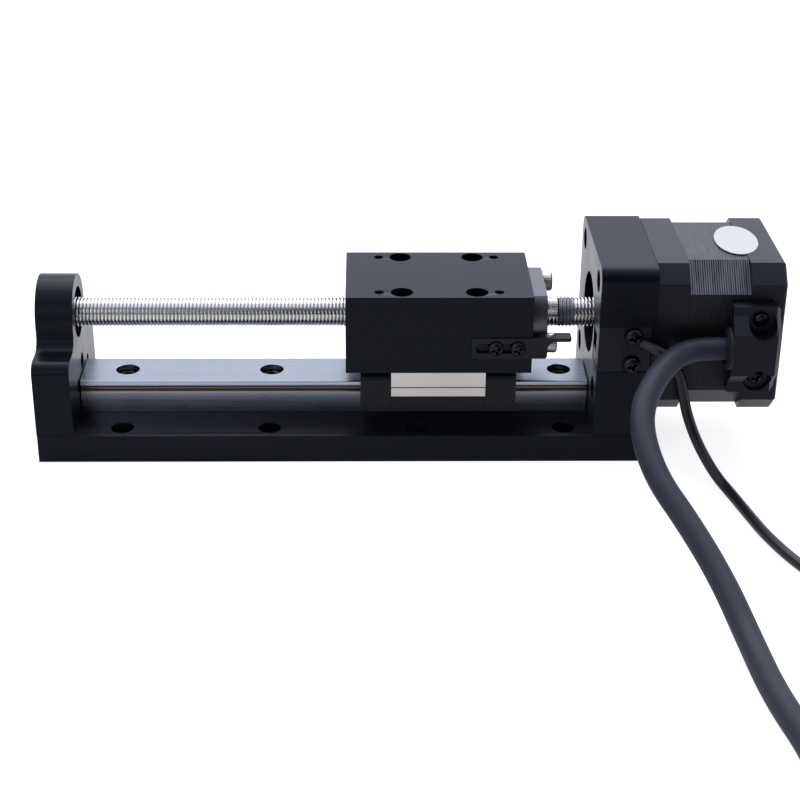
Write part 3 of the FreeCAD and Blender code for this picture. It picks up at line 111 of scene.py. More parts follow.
def smooth_by_angle(degrees):
    """A node group that shades smooth, apart from edges that turn by more than that."""
    group = bpy.data.node_groups.new("smooth turns", "GeometryNodeTree")
    group.interface.new_socket("Geometry", in_out="INPUT", socket_type="NodeSocketGeometry")
    group.interface.new_socket("Geometry", in_out="OUTPUT", socket_type="NodeSocketGeometry")
    start = group.nodes.new("NodeGroupInput").outputs[0]
    angle = group.nodes.new("GeometryNodeInputMeshEdgeAngle").outputs["Unsigned Angle"]
    under = put(group, "FunctionNodeCompare", {0: angle, 1: math.radians(degrees)},
                operation="LESS_EQUAL").outputs[0]
    faces = put(group, "GeometryNodeSetShadeSmooth", {"Geometry": start, "Shade Smooth": True},
                domain="FACE").outputs[0]
    edges = put(group, "GeometryNodeSetShadeSmooth", {"Geometry": faces, "Shade Smooth": under},
                domain="EDGE").outputs[0]
    put(group, "NodeGroupOutput", {0: edges})
    return group


smooth_turns = smooth_by_angle(smooth_turn)


def break_edges(piece, width, weld=True):
    """Live modifiers that bevel a piece's sharp edges; its own mesh stays as it is."""
    if weld:
        piece.modifiers.new("weld", "WELD").merge_threshold = weld_reach * MM
    bevel = piece.modifiers.new("broken edges", "BEVEL")
    bevel.width = width * MM
    bevel.segments = 2
    bevel.limit_method = "ANGLE"
    bevel.angle_limit = math.radians(bevelled_turn)
    piece.modifiers.new("smooth turns", "NODES").node_group = smooth_turns
    piece.modifiers.new("flat faces", "WEIGHTED_NORMAL").keep_sharp = True


def dress(material, pieces, edge=0):
    """Gives model nodes or new pieces their finish and the width of their broken edges."""
    for name in pieces:
        piece = nodes[name] if isinstance(name, str) else name
        piece.data.materials.clear()
        piece.data.materials.append(material)
        if edge:
            break_edges(piece, edge)


# Near black with a blue cast: a soft sheen on top, almost nothing from the front.
anodised, tree, shader, where = new_finish(
    "black_anodised_aluminium", "#090b10",
    {"Specular IOR Level": 0.13, "Specular Tint": linear(cool_sheen)})
grainy(tree, shader, where, 0.25, 0.003, 0.27, 0.36, ("#07090d", "#0b0e13"))
dress(anodised, ["base_plate", "end_bearing_block", "motor_bracket", "slide_table"], 0.3)


# End bearing
# A shielded ball bearing: rings of hardened and ground steel, shields pressed from sheet. It is
# pushed into the end block, and a circlip holds it on the screw. The motor has two more, so
# their rings and shields get the same finishes here.

# Mirror-bright rolled and ground steel.
bright_steel, tree, shader, where = new_finish("ground_bearing_steel", "#b9bcc2",
                                               {"Metallic": 1.0})
grainy(tree, shader, where, 0.3, 0.002, 0.16, 0.3)
dress(bright_steel, ["end_bearing_outer_ring", "end_bearing_inner_ring",
                     "motor_front_bearing_outer_ring", "motor_front_bearing_inner_ring",
                     "motor_rear_bearing_outer_ring", "motor_rear_bearing_inner_ring"], 0.15)
# Dull grey pressed sheet.
shield_steel, tree, shader, where = new_finish("stamped_shield_steel", "#77787a",
                                               {"Metallic": 1.0})
grainy(tree, shader, where, 0.3, 0.003, 0.34, 0.46)
dress(shield_steel, ["end_bearing_shields", "motor_front_bearing_shields",
                     "motor_rear_bearing_shields"])


# Profile rail
# Bearing steel, hardened and ground along its length. The ball grooves in the flanks are
# painted dark brown, as painted shade.

groove_shade_low, groove_shade_high, groove_shade_soft = 14.2, 16.0, 0.12
rail_top_colour = "#8c9199"
streaks_per_metre = (20, 3000, 3000)


def band(tree, value, low, high, soft):
    """1 where the value in metres lies between low and high in mm, with soft ends."""
    rise = put(tree, "ShaderNodeMapRange", {
        "Value": value, "From Min": (low - soft) * MM, "From Max": (low + soft) * MM})
    fall = put(tree, "ShaderNodeMapRange", {
        "Value": value, "From Min": (high + soft) * MM, "From Max": (high - soft) * MM})
    both = put(tree, "ShaderNodeMath", {0: rise.outputs[0], 1: fall.outputs[0]},
               operation="MULTIPLY")
    return both.outputs[0]


# Cool, bright and streaked along the stroke. The sides are painted brighter than the top, as
# painted light, and the grooves dark brown, as painted shade. The streaks are 50 mm long and a
# third of a millimetre wide.
rail_steel, tree, shader, where = new_finish("ground_rail_steel", rail_top_colour,
                                             {"Metallic": 1.0})
streaks = put(tree, "ShaderNodeMapping", {"Vector": where, "Scale": streaks_per_metre})
streaks = put(tree, "ShaderNodeTexNoise", {"Vector": streaks.outputs[0], "Scale": 1.0,
                                           "Detail": 3.0})
bump = put(tree, "ShaderNodeBump", {"Height": streaks.outputs["Fac"], "Strength": 0.4,
                                    "Distance": 0.003 * MM})
tree.links.new(bump.outputs["Normal"], shader.inputs["Normal"])
rough = put(tree, "ShaderNodeMapRange", {"Value": streaks.outputs["Fac"], "To Min": 0.2,
                                         "To Max": 0.38})
tree.links.new(rough.outputs["Result"], shader.inputs["Roughness"])
level = put(tree, "ShaderNodeSeparateXYZ", {"Vector": where}).outputs["Z"]
facing = put(tree, "ShaderNodeTexCoord").outputs["Normal"]
sideways = put(tree, "ShaderNodeSeparateXYZ", {"Vector": facing}).outputs["Y"]
sideways = put(tree, "ShaderNodeMath", {0: sideways}, operation="ABSOLUTE")
# The sides are painted brighter than the top: painted light.
sides_painted_light = put(tree, "ShaderNodeMix", {0: sideways.outputs[0], 6: linear(rail_top_colour),
                                     7: linear("#b0b6c2")}, data_type="RGBA")
# The band over the ball grooves is painted dark brown: painted shade.
blend(tree, shader, band(tree, level, groove_shade_low, groove_shade_high, groove_shade_soft),
      sides_painted_light.outputs[2], linear("#756a63"))
dress(rail_steel, ["guide_rail"], 0.12)


# Carriage
# A ground steel block between moulded black end caps, with rubber seals and a moulded
# retainer under each leg that keeps the balls in when the carriage leaves the rail.

dark_line_low, dark_line_high, dark_line_soft = 19.35, 19.7, 0.08
carriage_colour = "#c1bcb6"

# A silky, slightly warm grey, with a thin dark line painted along the block between 19.35 and
# 19.7 mm up.
carriage_steel, tree, shader, where = new_finish("fine_ground_stainless", carriage_colour,
                                                 {"Metallic": 1.0})
grainy(tree, shader, where, 0.15, 0.002, 0.3, 0.42)
level = put(tree, "ShaderNodeSeparateXYZ", {"Vector": where}).outputs["Z"]
blend(tree, shader, band(tree, level, dark_line_low, dark_line_high, dark_line_soft),
      linear(carriage_colour), linear("#55504d"))
dress(carriage_steel, ["carriage_block"], 0.15)
# Black with the dull skin of a moulding.
acetal, tree, shader, where = new_finish("moulded_black_acetal", "#0e0f13",
                                         {"Specular IOR Level": 0.18})
grainy(tree, shader, where, 0.2, 0.004, 0.36, 0.5, ("#0c0d10", "#111216"))
dress(acetal, ["carriage_retainer_front", "carriage_retainer_rear", "carriage_end_cap_left",
               "carriage_end_cap_right"], 0.15)
# Deep matte black.
rubber, tree, shader, where = new_finish("nitrile_rubber", "#0b0b0d",
                                         {"Specular IOR Level": 0.3})
grainy(tree, shader, where, 0.2, 0.006, 0.55, 0.7)
dress(rubber, ["carriage_end_seal_left", "carriage_end_seal_right", "nut_wiper_left",
               "nut_wiper_right"])


# Ball screw
# Rolled bearing steel with a groove of 1 mm lead between bright lands. Both ends are turned
# down: one into the end bearing, with a groove for the circlip, one into the motor.

axis_up = 35.0
screw_lead, screw_radius, groove_deep = 1.0, 4.0, 0.28
land_share, groove_shape = 0.4, 0.6
thread_start, thread_end, thread_root = -74.0, 78.0, 3.7
end_tip, motor_tip, journal_radius, chamfer = -80.7, 114.1, 2.5, 0.2
clip_start, clip_end = -80.1, -79.5
rows_per_mm, points_round = 10, 40
land_colour = "#d0d0cf"
groove_shade_under, land_over = 0.25, 0.14
grease_shadow_start, grease_shadow_end, grease_shadow_soft = 58.4, 62.9, 0.3


def rings(x, radius):
    """Points round the screw axis: one row for each x, the radius by row or by point."""
    turn = np.linspace(0, 2 * math.pi, points_round, endpoint=False)
    x = np.asarray(x, float)[:, None]
    return np.stack([x + 0 * turn, radius * np.cos(turn), axis_up + radius * np.sin(turn)], -1)


def turned_steps(stations):
    """Rings from a turned outline of (x, radius) pairs."""
    stations = np.array(stations, float)
    return rings(stations[:, 0], stations[:, 1:])


def thread():
    """Rings along X with radius = crest - depth x groove, between flat lands.

    The groove is (sin^2 of half the helix angle - land) / (1 - land), from 0 up, to the power
    of its shape. The helix angle is 2 pi x / lead + turn, which winds as a right-hand thread;
    the depth fades out over the last millimetre at both ends.
    """
    steps = (thread_end - thread_start) * rows_per_mm
    x = thread_start + np.arange(0, steps + 1) / rows_per_mm
    turn = np.linspace(0, 2 * math.pi, points_round, endpoint=False)
    wave = np.sin(math.pi * x[:, None] / screw_lead + turn / 2) ** 2
    groove = np.clip((wave - land_share) / (1 - land_share), 0, 1) ** groove_shape
    ends = np.clip(np.minimum(x - thread_start, thread_end - x), 0, 1)
    return rings(x, screw_radius - groove_deep * ends[:, None] * groove)


def quads_of(rows, columns):
    """Vertex numbers of a grid's four-sided faces, the columns closed round the piece."""
    row, column = np.mgrid[0:rows - 1, 0:columns]
    right = (column + 1) % columns
    return np.stack([row * columns + column, row * columns + right,
                     (row + 1) * columns + right, (row + 1) * columns + column],
                    -1).reshape(-1, 4)


def surface(name, grids, body):
    """One piece of closed grids in mm that rides on a body.

    Each grid is rows x columns of points; its first and last row close in a middle point.
    """
    vertices, faces, start = [], [], 0
    for grid in grids:
        rows, columns = grid.shape[:2]
        around = np.arange(columns)
        after = (around + 1) % columns
        first, last = rows * columns, rows * columns + 1
        base = (rows - 1) * columns
        vertices += [grid.reshape(-1, 3), grid[0].mean(0)[None], grid[-1].mean(0)[None]]
        faces += (quads_of(rows, columns) + start).tolist()
        faces += (np.stack([0 * around + first, after, around], -1) + start).tolist()
        faces += (np.stack([0 * around + last, base + around, base + after], -1)
                  + start).tolist()
        start += rows * columns + 2
    return make_piece(name, np.vstack(vertices), faces, body)


def make_piece(name, vertices, faces, body):
    """A new mesh object from points in mm, smooth but for its sharp turns."""
    mesh = bpy.data.meshes.new(name)
    mesh.from_pydata((np.asarray(vertices) * MM).tolist(), [], faces)
    mesh.update()
    piece = bpy.data.objects.new(name, mesh)
    bpy.context.scene.collection.objects.link(piece)
    piece.modifiers.new("smooth turns", "NODES").node_group = smooth_turns
    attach(piece, body)
    return piece


turned_down = journal_radius - chamfer
end_journal = turned_steps([
    (end_tip, turned_down), (end_tip + chamfer, journal_radius),
    (clip_start, journal_radius), (clip_start, turned_down), (clip_end, turned_down),
    (clip_end, journal_radius), (thread_start, journal_radius), (thread_start, thread_root),
])
motor_journal = turned_steps([
    (thread_end, thread_root), (thread_end, journal_radius),
    (motor_tip - chamfer, journal_radius), (motor_tip, turned_down),
])
ball_screw = surface("ball_screw_dressed",
                     [np.concatenate([end_journal, thread(), motor_journal])], "screw")
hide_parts("ball_screw")
# Bright silver lands over grooves painted darker, as painted shade. Between the nut and the
# bracket the thread is dulled to grey, by fresh grease and by the bracket's painted shadow.
screw_steel, tree, shader, where = new_finish("rolled_screw_steel", land_colour,
                                              {"Metallic": 1.0})
grainy(tree, shader, where, 0.3, 0.002, 0.14, 0.26)
split = put(tree, "ShaderNodeSeparateXYZ", {"Vector": where})
# Between the nut and the bracket the thread is painted grey: fresh grease, and the bracket's
# painted shadow.
grease_and_bracket_shadow = band(tree, split.outputs["X"], grease_shadow_start, grease_shadow_end, grease_shadow_soft)
across = put(tree, "ShaderNodeVectorMath", {0: where, 1: (0, -1, -1)}, operation="MULTIPLY")
across = put(tree, "ShaderNodeVectorMath", {0: across.outputs[0], 1: (0, 0, axis_up * MM)},
             operation="ADD")
from_axis = put(tree, "ShaderNodeVectorMath", {0: across.outputs[0]}, operation="LENGTH")
# The grooves are painted darker than the lands: painted shade.
land = put(tree, "ShaderNodeMapRange", {"Value": from_axis.outputs["Value"],
                                        "From Min": (screw_radius - groove_shade_under) * MM,
                                        "From Max": (screw_radius - land_over) * MM})
thread_groove_shade = put(tree, "ShaderNodeMix", {0: land.outputs[0], 6: linear("#85827f"),
                                    7: linear(land_colour)}, data_type="RGBA")
blend(tree, shader, grease_and_bracket_shadow, thread_groove_shade.outputs[2], linear("#7b7c81"))
rough = put(tree, "ShaderNodeMapRange", {"Value": grease_and_bracket_shadow, "To Min": 0.2, "To Max": 0.6})
tree.links.new(rough.outputs["Result"], shader.inputs["Roughness"])
dress(screw_steel, [ball_screw])


# Ball nut
# Turned from steel and blackened; its flange is milled flat above and below. Four cap screws
# hold it to the table over plain washers.

# A purplish dark grey with a metal's sheen, as on the circlip at the screw's end.
blackened, tree, shader, where = new_finish("blackened_steel", "#5f5c63", {"Metallic": 1.0})
grainy(tree, shader, where, 0.3, 0.003, 0.32, 0.46)
dress(blackened, ["ball_nut"], 0.2)
dress(blackened, ["screw_circlip"])


# Motor
# A 42 mm stepping motor: die-cast flange and cap, painted black, round a stack of bare
# punched laminations, with the windings and the rotor inside.

# Black paint, a little rougher than the anodised parts.
cast_black, tree, shader, where = new_finish(
    "painted_die_cast_aluminium", "#101218",
    {"Specular IOR Level": 0.24, "Specular Tint": linear(cool_sheen)})
grainy(tree, shader, where, 0.35, 0.006, 0.3, 0.42, ("#0b0c10", "#101116"))
dress(cast_black, ["motor_front_flange", "motor_rear_cap"], 0.3)

# The sheets' edges as fine bright and dark lines. The sheets are 0.5 mm thick; the lines are
# drawn at 0.6 mm, as the finest that shows at this distance. On the faces that look up and on
# the cut corners the lines are painted bright and contrasty, as a painted highlight of the light
# from above; on the sides they are painted dim, as painted shade. Their tone changes about once
# a line across the stack and every 11 mm along a sheet.
sheet_pitch, sheet_deep, tones_per_metre = 0.6, 0.05, (1700, 90, 90)
laminations, tree, shader, where = new_finish("punched_laminations", "#4a4b4e",
                                              {"Metallic": 0.9, "Roughness": 0.4})
split = put(tree, "ShaderNodeSeparateXYZ", {"Vector": where})
wave = put(tree, "ShaderNodeMath", {0: split.outputs["X"], 1: 2 * math.pi / (sheet_pitch * MM)},
           operation="MULTIPLY")
wave = put(tree, "ShaderNodeMath", {0: wave.outputs[0]}, operation="SINE")
uneven = put(tree, "ShaderNodeMapping", {"Vector": where, "Scale": tones_per_metre})
uneven = put(tree, "ShaderNodeTexNoise", {"Vector": uneven.outputs[0], "Scale": 1.0,
                                          "Detail": 2.0})
sheet_tone = put(tree, "ShaderNodeMath", {0: wave.outputs[0], 1: 0.45, 2: uneven.outputs["Fac"]},
                 operation="MULTIPLY_ADD", use_clamp=True)
# Faces that look up and cut corners get bright lines as painted highlight; the sides get dim
# ones as painted shade.
facing = put(tree, "ShaderNodeTexCoord").outputs["Normal"]
upward = put(tree, "ShaderNodeSeparateXYZ", {"Vector": facing}).outputs["Z"]
corner = put(tree, "ShaderNodeMapRange", {"Value": upward, "From Min": 0.1, "From Max": 0.6})
level_top = put(tree, "ShaderNodeMapRange", {"Value": upward, "From Min": 0.8, "From Max": 0.95,
                                             "To Min": 1.0, "To Max": 0.55})
upward = put(tree, "ShaderNodeMath", {0: corner.outputs[0], 1: level_top.outputs[0]},
             operation="MULTIPLY")
side_painted_shade = put(tree, "ShaderNodeMix", {0: sheet_tone.outputs[0], 6: linear("#1d1d20"),
                                    7: linear("#2c2c2f")}, data_type="RGBA")
clear = put(tree, "ShaderNodeMix", {0: sheet_tone.outputs[0], 6: linear("#08080a"),
                                    7: linear("#66676e")}, data_type="RGBA")
blend(tree, shader, upward.outputs[0], side_painted_shade.outputs[2], clear.outputs[2])
bump = put(tree, "ShaderNodeBump", {"Height": wave.outputs[0], "Strength": 0.6,
                                    "Distance": sheet_deep * MM})
tree.links.new(bump.outputs["Normal"], shader.inputs["Normal"])
dress(laminations, ["motor_stator", "motor_rotor"])
# Varnished copper.
copper, tree, shader, where = new_finish("enamelled_copper", "#8a4a22", {"Metallic": 0.8})
grainy(tree, shader, where, 0.5, 0.05, 0.3, 0.45)
dress(copper, ["motor_winding_front", "motor_winding_rear"])
# Plain white film, left blank.
label_film, tree, shader, where = new_finish("blank_label_film", "#cbcac7", {})
grainy(tree, shader, where, 0.6, 0.002, 0.3, 0.42, ("#c3c2c0", "#c9c8c6"))
dress(label_film, ["motor_label"])


# Cable gland
# A die-cast housing with two ears on the motor's side, painted as the motor is, and a moulded
# rubber grommet round the cable.

dress(cast_black, ["cable_gland_housing"], 0.25)
dress(rubber, ["cable_grommet"], 0.15)


# Home sensor and flag
# A moulded fork sensor on the bracket, and the blackened sheet steel flag on the table that
# goes into its fork at the motor end of the stroke.

dress(acetal, ["home_sensor"], 0.15)
# Black with a faint gloss.
flag_black, tree, shader, where = new_finish("blackened_flag_sheet", "#17181e",
                                             {"Metallic": 0.3, "Specular IOR Level": 0.2})
grainy(tree, shader, where, 0.3, 0.003, 0.3, 0.4)
dress(flag_black, ["home_flag"], 0.12)


# Cap screws
# Alloy steel screws with a knurled head and a hexagon socket, cold-headed and plated; those in
# the rail and under the base are black.

both_sides = (-1, 1)
four_corners = [(i, j) for i in both_sides for j in both_sides]
m3 = {"shank": 3.0, "head": 5.5, "head_high": 3.0, "key": 2.5}
m4 = {"shank": 4.0, "head": 7.0, "head_high": 4.0, "key": 3.0}
low_m3 = {**m3, "head_high": 2.6}
# A seat is where the head's underside rests; holes lie out, up or half a pitch from a middle.
rail_holes, rail_seat = (-60, -20, 20, 60), 13
table_middle, table_screw_half, table_seat = 25.75, (10, 12.5), 30
foot_holes, foot_out, foot_seat = (-77.5, 75), 13, 4.4
motor_screw_half, bracket_seat, rear_seat = 15.5, 72, 113.5
nut_screw_out, nut_screw_up, nut_seat = 9.093, 5.25, 55.3
screw_turn = np.linspace(0, 2 * math.pi, 96, endpoint=False)
knurls, knurl_deep = 32, 0.035


def cap_screw(long, shank, head, head_high, key):
    """The screw's grid, from the socket's floor over the head to the shank's tip.

    A row is (depth, radius, knurl, hexagon): depth runs down from the seat, and the radius
    is scaled by the knurl's saw-tooth, or by the hexagon's 1 / cos between its corners.
    """
    turn, r = screw_turn, head / 2
    rows = np.array([
        (-head_high * 0.42, key * 0.2, 0, 1), (-head_high * 0.45, key / 2, 0, 1),
        (-head_high * 0.95, key / 2, 0, 1), (-head_high, key / 2 + 0.12, 0, 0.6),
        (-head_high, r * 0.84, 0, 0), (-head_high * 0.93, r * 0.93, 0, 0),
        (-head_high * 0.86, r, 1, 0), (-head_high * 0.12, r, 1, 0), (0, r * 0.95, 0, 0),
        (0, shank / 2, 0, 0), (long - 0.3, shank / 2, 0, 0), (long, shank / 2 - 0.3, 0, 0),
    ])
    depth, radius, knurl, hexagon = np.split(rows, 4, axis=1)
    saw = np.abs((turn * knurls / (2 * math.pi)) % 1 - 0.5) * 2
    corner = 1 / np.cos((turn + math.pi / 6) % (math.pi / 3) - math.pi / 6)
    out = radius * (1 - knurl_deep * knurl * saw) * (1 + hexagon * (corner - 1))
    return np.stack([out * np.cos(turn), out * np.sin(turn), depth + 0 * turn], -1)


def set_screws(node_name, grid, seats, way, body, material):
    """Puts one screw's grid, whose third axis is its way in, at each seat of its node."""
    way = np.array(way, float)
    side = np.array([0, 1, 0.0]) if abs(way[0]) > 0.5 else np.array([1.0, 0, 0])
    up = np.cross(way, side)
    turned = grid[..., :1] * side + grid[..., 1:2] * up + grid[..., 2:] * way
    piece = surface(node_name + "_dressed", [turned + np.array(seat) for seat in seats], body)
    dress(material, [piece])
    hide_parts(node_name)


# Bright plating that catches the light in the knurl.
plated, tree, shader, where = new_finish("plated_alloy_steel", "#a2a29c", {"Metallic": 1.0})
grainy(tree, shader, where, 0.12, 0.002, 0.24, 0.4)
# Black with narrow bright edges.
black_oxide, tree, shader, where = new_finish("black_oxide_steel", "#29292e",
                                              {"Metallic": 1.0})
grainy(tree, shader, where, 0.2, 0.002, 0.22, 0.34)

set_screws("rail_screws", cap_screw(11, **m3), [(x, 0, rail_seat) for x in rail_holes],
           (0, 0, -1), "base", black_oxide)
set_screws("table_screws", cap_screw(10, **m3),
           [(table_middle + table_screw_half[0] * i, table_screw_half[1] * j, table_seat)
            for i, j in four_corners], (0, 0, -1), "table", plated)
set_screws("foot_screws", cap_screw(9.8, **m4),
           [(x, foot_out * j, foot_seat) for x in foot_holes for j in both_sides],
           (0, 0, 1), "base", black_oxide)
set_screws("motor_screws", cap_screw(14, **m3),
           [(bracket_seat, motor_screw_half * i, axis_up + motor_screw_half * j)
            for i, j in four_corners], (1, 0, 0), "base", plated)
set_screws("motor_body_screws", cap_screw(26.9, **m3),
           [(rear_seat, motor_screw_half * i, axis_up + motor_screw_half * j)
            for i, j in four_corners], (-1, 0, 0), "base", plated)
set_screws("nut_screws", cap_screw(10, **low_m3),
           [(nut_seat, nut_screw_out * i, axis_up + nut_screw_up * j)
            for i, j in four_corners], (-1, 0, 0), "table", plated)
dress(plated, ["nut_washers"])


# Cross-recess screws
# Small pan head screws of black oxide steel, with a cross punched into the head. They hold the
# gland, the sensor and its flag.

gland_screw_place, gland_screw_out = (109.6, -23.15, 34.7), 8.2
sensor_screw_place, sensor_screw_out = (76.8, -21.7, 33.3), 4.05
flag_screw_places = [(40.95, -16.6, 31.35), (46.85, -16.6, 31.35)]
cross_turn, cross_reach = 0.35, 0.62
dome_fall, dome_rim = 2.4, 0.35


def pan_screw(long, shank, head, head_high, arm):
    """The screw's grid, from the recess's floor over the dome to the shank's tip.

    The dome falls from its top to its rim as the square root of 1 - (radius / edge) ^ 2.4. The
    recess is sunk where |x| or |y| is under half the arm's width, out to the cross's reach.
    """
    turn, r = screw_turn, head / 2
    # Close rings over the recess, few beyond it.
    share = np.concatenate([np.linspace(0.05, 0.7, 26), [0.78, 0.86, 0.93, 0.985, 1.0]])
    out = share[:, None] * r
    fall = np.sqrt(np.clip(1 - share[:, None] ** dome_fall, 0, 1))
    high = head_high * (dome_rim + (1 - dome_rim) * fall)
    x, y = out * np.cos(turn + cross_turn), out * np.sin(turn + cross_turn)
    in_arm = np.clip((arm / 2 - np.minimum(np.abs(x), np.abs(y))) / 0.08 + 0.5, 0, 1)
    in_reach = np.clip((cross_reach * r - out) / 0.1 + 0.5, 0, 1)
    deep = np.minimum(head_high * 0.72, high - 0.15)
    dome = np.stack([out * np.cos(turn), out * np.sin(turn),
                     in_arm * in_reach * deep - high], -1)
    rest = np.array([(0, r * 0.97), (0, shank / 2), (long - 0.3, shank / 2),
                     (long, shank / 2 - 0.3)])
    depth, radius = rest[:, :1], rest[:, 1:]
    rest = np.stack([radius * np.cos(turn), radius * np.sin(turn), depth + 0 * turn], -1)
    return np.concatenate([dome, rest])


def pair_along_z(middle, out):
    """Two places, out below and out above the middle."""
    return [(middle[0], middle[1], middle[2] + out * side) for side in both_sides]


set_screws("gland_screws", pan_screw(6, 2.5, 4, 1.5, 0.7),
           pair_along_z(gland_screw_place, gland_screw_out), (0, 1, 0), "base", black_oxide)
set_screws("sensor_screws", pan_screw(8.5, 2.5, 4.5, 1.8, 0.75),
           pair_along_z(sensor_screw_place, sensor_screw_out), (0, 1, 0), "base", black_oxide)
set_screws("flag_screws", pan_screw(4.8, 2, 4, 1.3, 0.6), flag_screw_places, (0, 1, 0),
           "table", black_oxide)


# Motor cable and sensor cable
# Round cables in a matte black sheath. Each leaves the object, falls to the floor and runs
# forwards; the length past the photograph lies in a flat coil with its connector inside. The
# routes are the model's own: along X and Y in cable diameters from the mouth, then the height
# as a part of the way from the floor up to the mouth. Only the fourth and fifth point of the
# thin cable stand about half a millimetre off the model's, closer to the photograph.

motor_cable_wide, sensor_cable_wide = 6.2, 2.9
motor_cable_start, sensor_cable_sunk = 108.0, 0.5
motor_coil = {"outermost": 38.4, "turns": 1.75, "curl": 15}
sensor_coil = {"outermost": 18.7, "turns": 2.75, "curl": 6.5}
coil_lead, coil_points = 10, 12
curl_turns, curl_out = (22.5, 67.5, 112.5, 157.5), 1.08
motor_mouth, sensor_mouth = (100.4, -24.875, 35.3), (79.9, -22.0, 35.1)
motor_cable_shares = [
    (-0.10, 0, 1), (-1.76, -0.21, 1), (-3.10, -1.95, 0.96), (-4.18, -4.21, 0.79),
    (-3.84, -6.76, 0.55), (-2.74, -9.10, 0.37), (-1.81, -11.52, 0.18), (-1.19, -14.41, 0),
    (-0.97, -17.60, 0), (-0.29, -20.91, 0), (-0.29, -24.41, 0),
]
sensor_cable_shares = [
    (1.20, -0.93, 0.98), (2.35, -0.66, 0.90), (3.40, -0.66, 0.74), (3.80, -0.85, 0.56),
    (4.30, -1.30, 0.40), (5.21, -2.21, 0.21), (6.59, -4.55, 0.04), (7.72, -7.52, 0),
    (8.45, -10.86, 0), (9.34, -14.66, 0), (11.00, -19.14, 0), (13.55, -23.45, 0),
    (13.55, -26.72, 0),
]


def route(mouth, shares, diameter):
    """The table's points in mm: mouth + diameter x share, and the height above the floor."""
    shares = np.array(shares)
    across = np.array(mouth[:2]) + shares[:, :2] * diameter
    height = diameter / 2 + shares[:, 2:] * (mouth[2] - diameter / 2)
    return np.hstack([across, height])


def coil(entry, diameter, outermost, turns, curl):
    """Control points of a flat coil that winds inwards and curls to its middle.

    A point at turn t has the radius outermost - diameter x t, and all of them stand out by
    the factor that a spline of order 3 with that many points to a turn cuts off a circle.
    """
    middle = np.array([entry[0] + outermost, entry[1] - coil_lead])
    out = 1 / (0.75 + 0.25 * math.cos(2 * math.pi / coil_points))
    t = np.arange(1, round(turns * coil_points) + 1) / coil_points
    angle = math.pi + 2 * math.pi * t
    radius = (outermost - diameter * t) * out
    winding = np.stack([radius * np.cos(angle), radius * np.sin(angle)], -1)
    inner = outermost - diameter * turns
    bend = math.pi / 2 + np.radians(curl_turns)
    loop = np.stack([curl * curl_out * np.cos(bend),
                     inner - curl + curl * curl_out * np.sin(bend)], -1)
    flat = np.concatenate([winding, loop, [[0.0, inner - 2 * curl]]]) + middle
    return np.hstack([flat, np.full((len(flat), 1), diameter / 2)])


def cable(name, points, diameter, material):
    """A spline of order 3 along the cable's control points, with a round section."""
    curve = bpy.data.curves.new(name, "CURVE")
    curve.dimensions = "3D"
    line = curve.splines.new("NURBS")
    line.points.add(len(points) - 1)
    line.points.foreach_set("co", np.hstack([points * MM, np.ones((len(points), 1))]).ravel())
    line.order_u = 3
    line.use_endpoint_u = True
    line.resolution_u = 8
    curve.bevel_depth = diameter / 2 * MM
    curve.bevel_resolution = 8
    curve.use_fill_caps = True
    piece = bpy.data.objects.new(name, curve)
    bpy.context.scene.collection.objects.link(piece)
    curve.materials.append(material)
    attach(piece, "base")
    return piece


# The thick one is a matte, slightly blue dark grey with a broad soft highlight.
sheath, tree, shader, where = new_finish("matte_cable_sheath", "#20222c",
                                         {"Specular IOR Level": 0.26,
                                          "Specular Tint": linear("#e8ebff")})
grainy(tree, shader, where, 0.4, 0.01, 0.48, 0.58, ("#1e2029", "#242630"))
# The thin one is darker and glossier, with a narrow bright streak.
thin_sheath, tree, shader, where = new_finish("smooth_cable_sheath", "#101117",
                                              {"Specular IOR Level": 0.3})
grainy(tree, shader, where, 0.4, 0.005, 0.3, 0.38, ("#0e0f15", "#13141a"))

motor_route = route(motor_mouth, motor_cable_shares, motor_cable_wide)
motor_start = [[motor_cable_start, motor_mouth[1], motor_mouth[2]]]
motor_points = np.vstack([motor_start, motor_route,
                          coil(motor_route[-1], motor_cable_wide, **motor_coil)])
motor_cable = cable("motor_cable_dressed", motor_points, motor_cable_wide, sheath)
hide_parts("motor_cable", "motor_cable_coil")

sensor_route = route(sensor_mouth, sensor_cable_shares, sensor_cable_wide)
outward = sensor_route[0] - sensor_mouth
sensor_start = np.array(sensor_mouth) - outward * (sensor_cable_sunk / abs(outward[1]))
sensor_points = np.vstack([sensor_start, sensor_route,
                           coil(sensor_route[-1], sensor_cable_wide, **sensor_coil)])
sensor_cable = cable("sensor_cable_dressed", sensor_points, sensor_cable_wide, thin_sheath)
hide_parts("sensor_cable", "sensor_cable_coil")


# Connectors
# Moulded nylon housings for crimped contacts, each with a row or two of chambers, a latch on
# top and a narrower neck where the cable comes in.

# Ivory white that lets a little light in.
nylon, tree, shader, where = new_finish("natural_nylon", "#dcd8cb", {"Subsurface Weight": 0.1})
grainy(tree, shader, where, 0.3, 0.003, 0.36, 0.5, ("#d8d4c6", "#e0dcd0"))


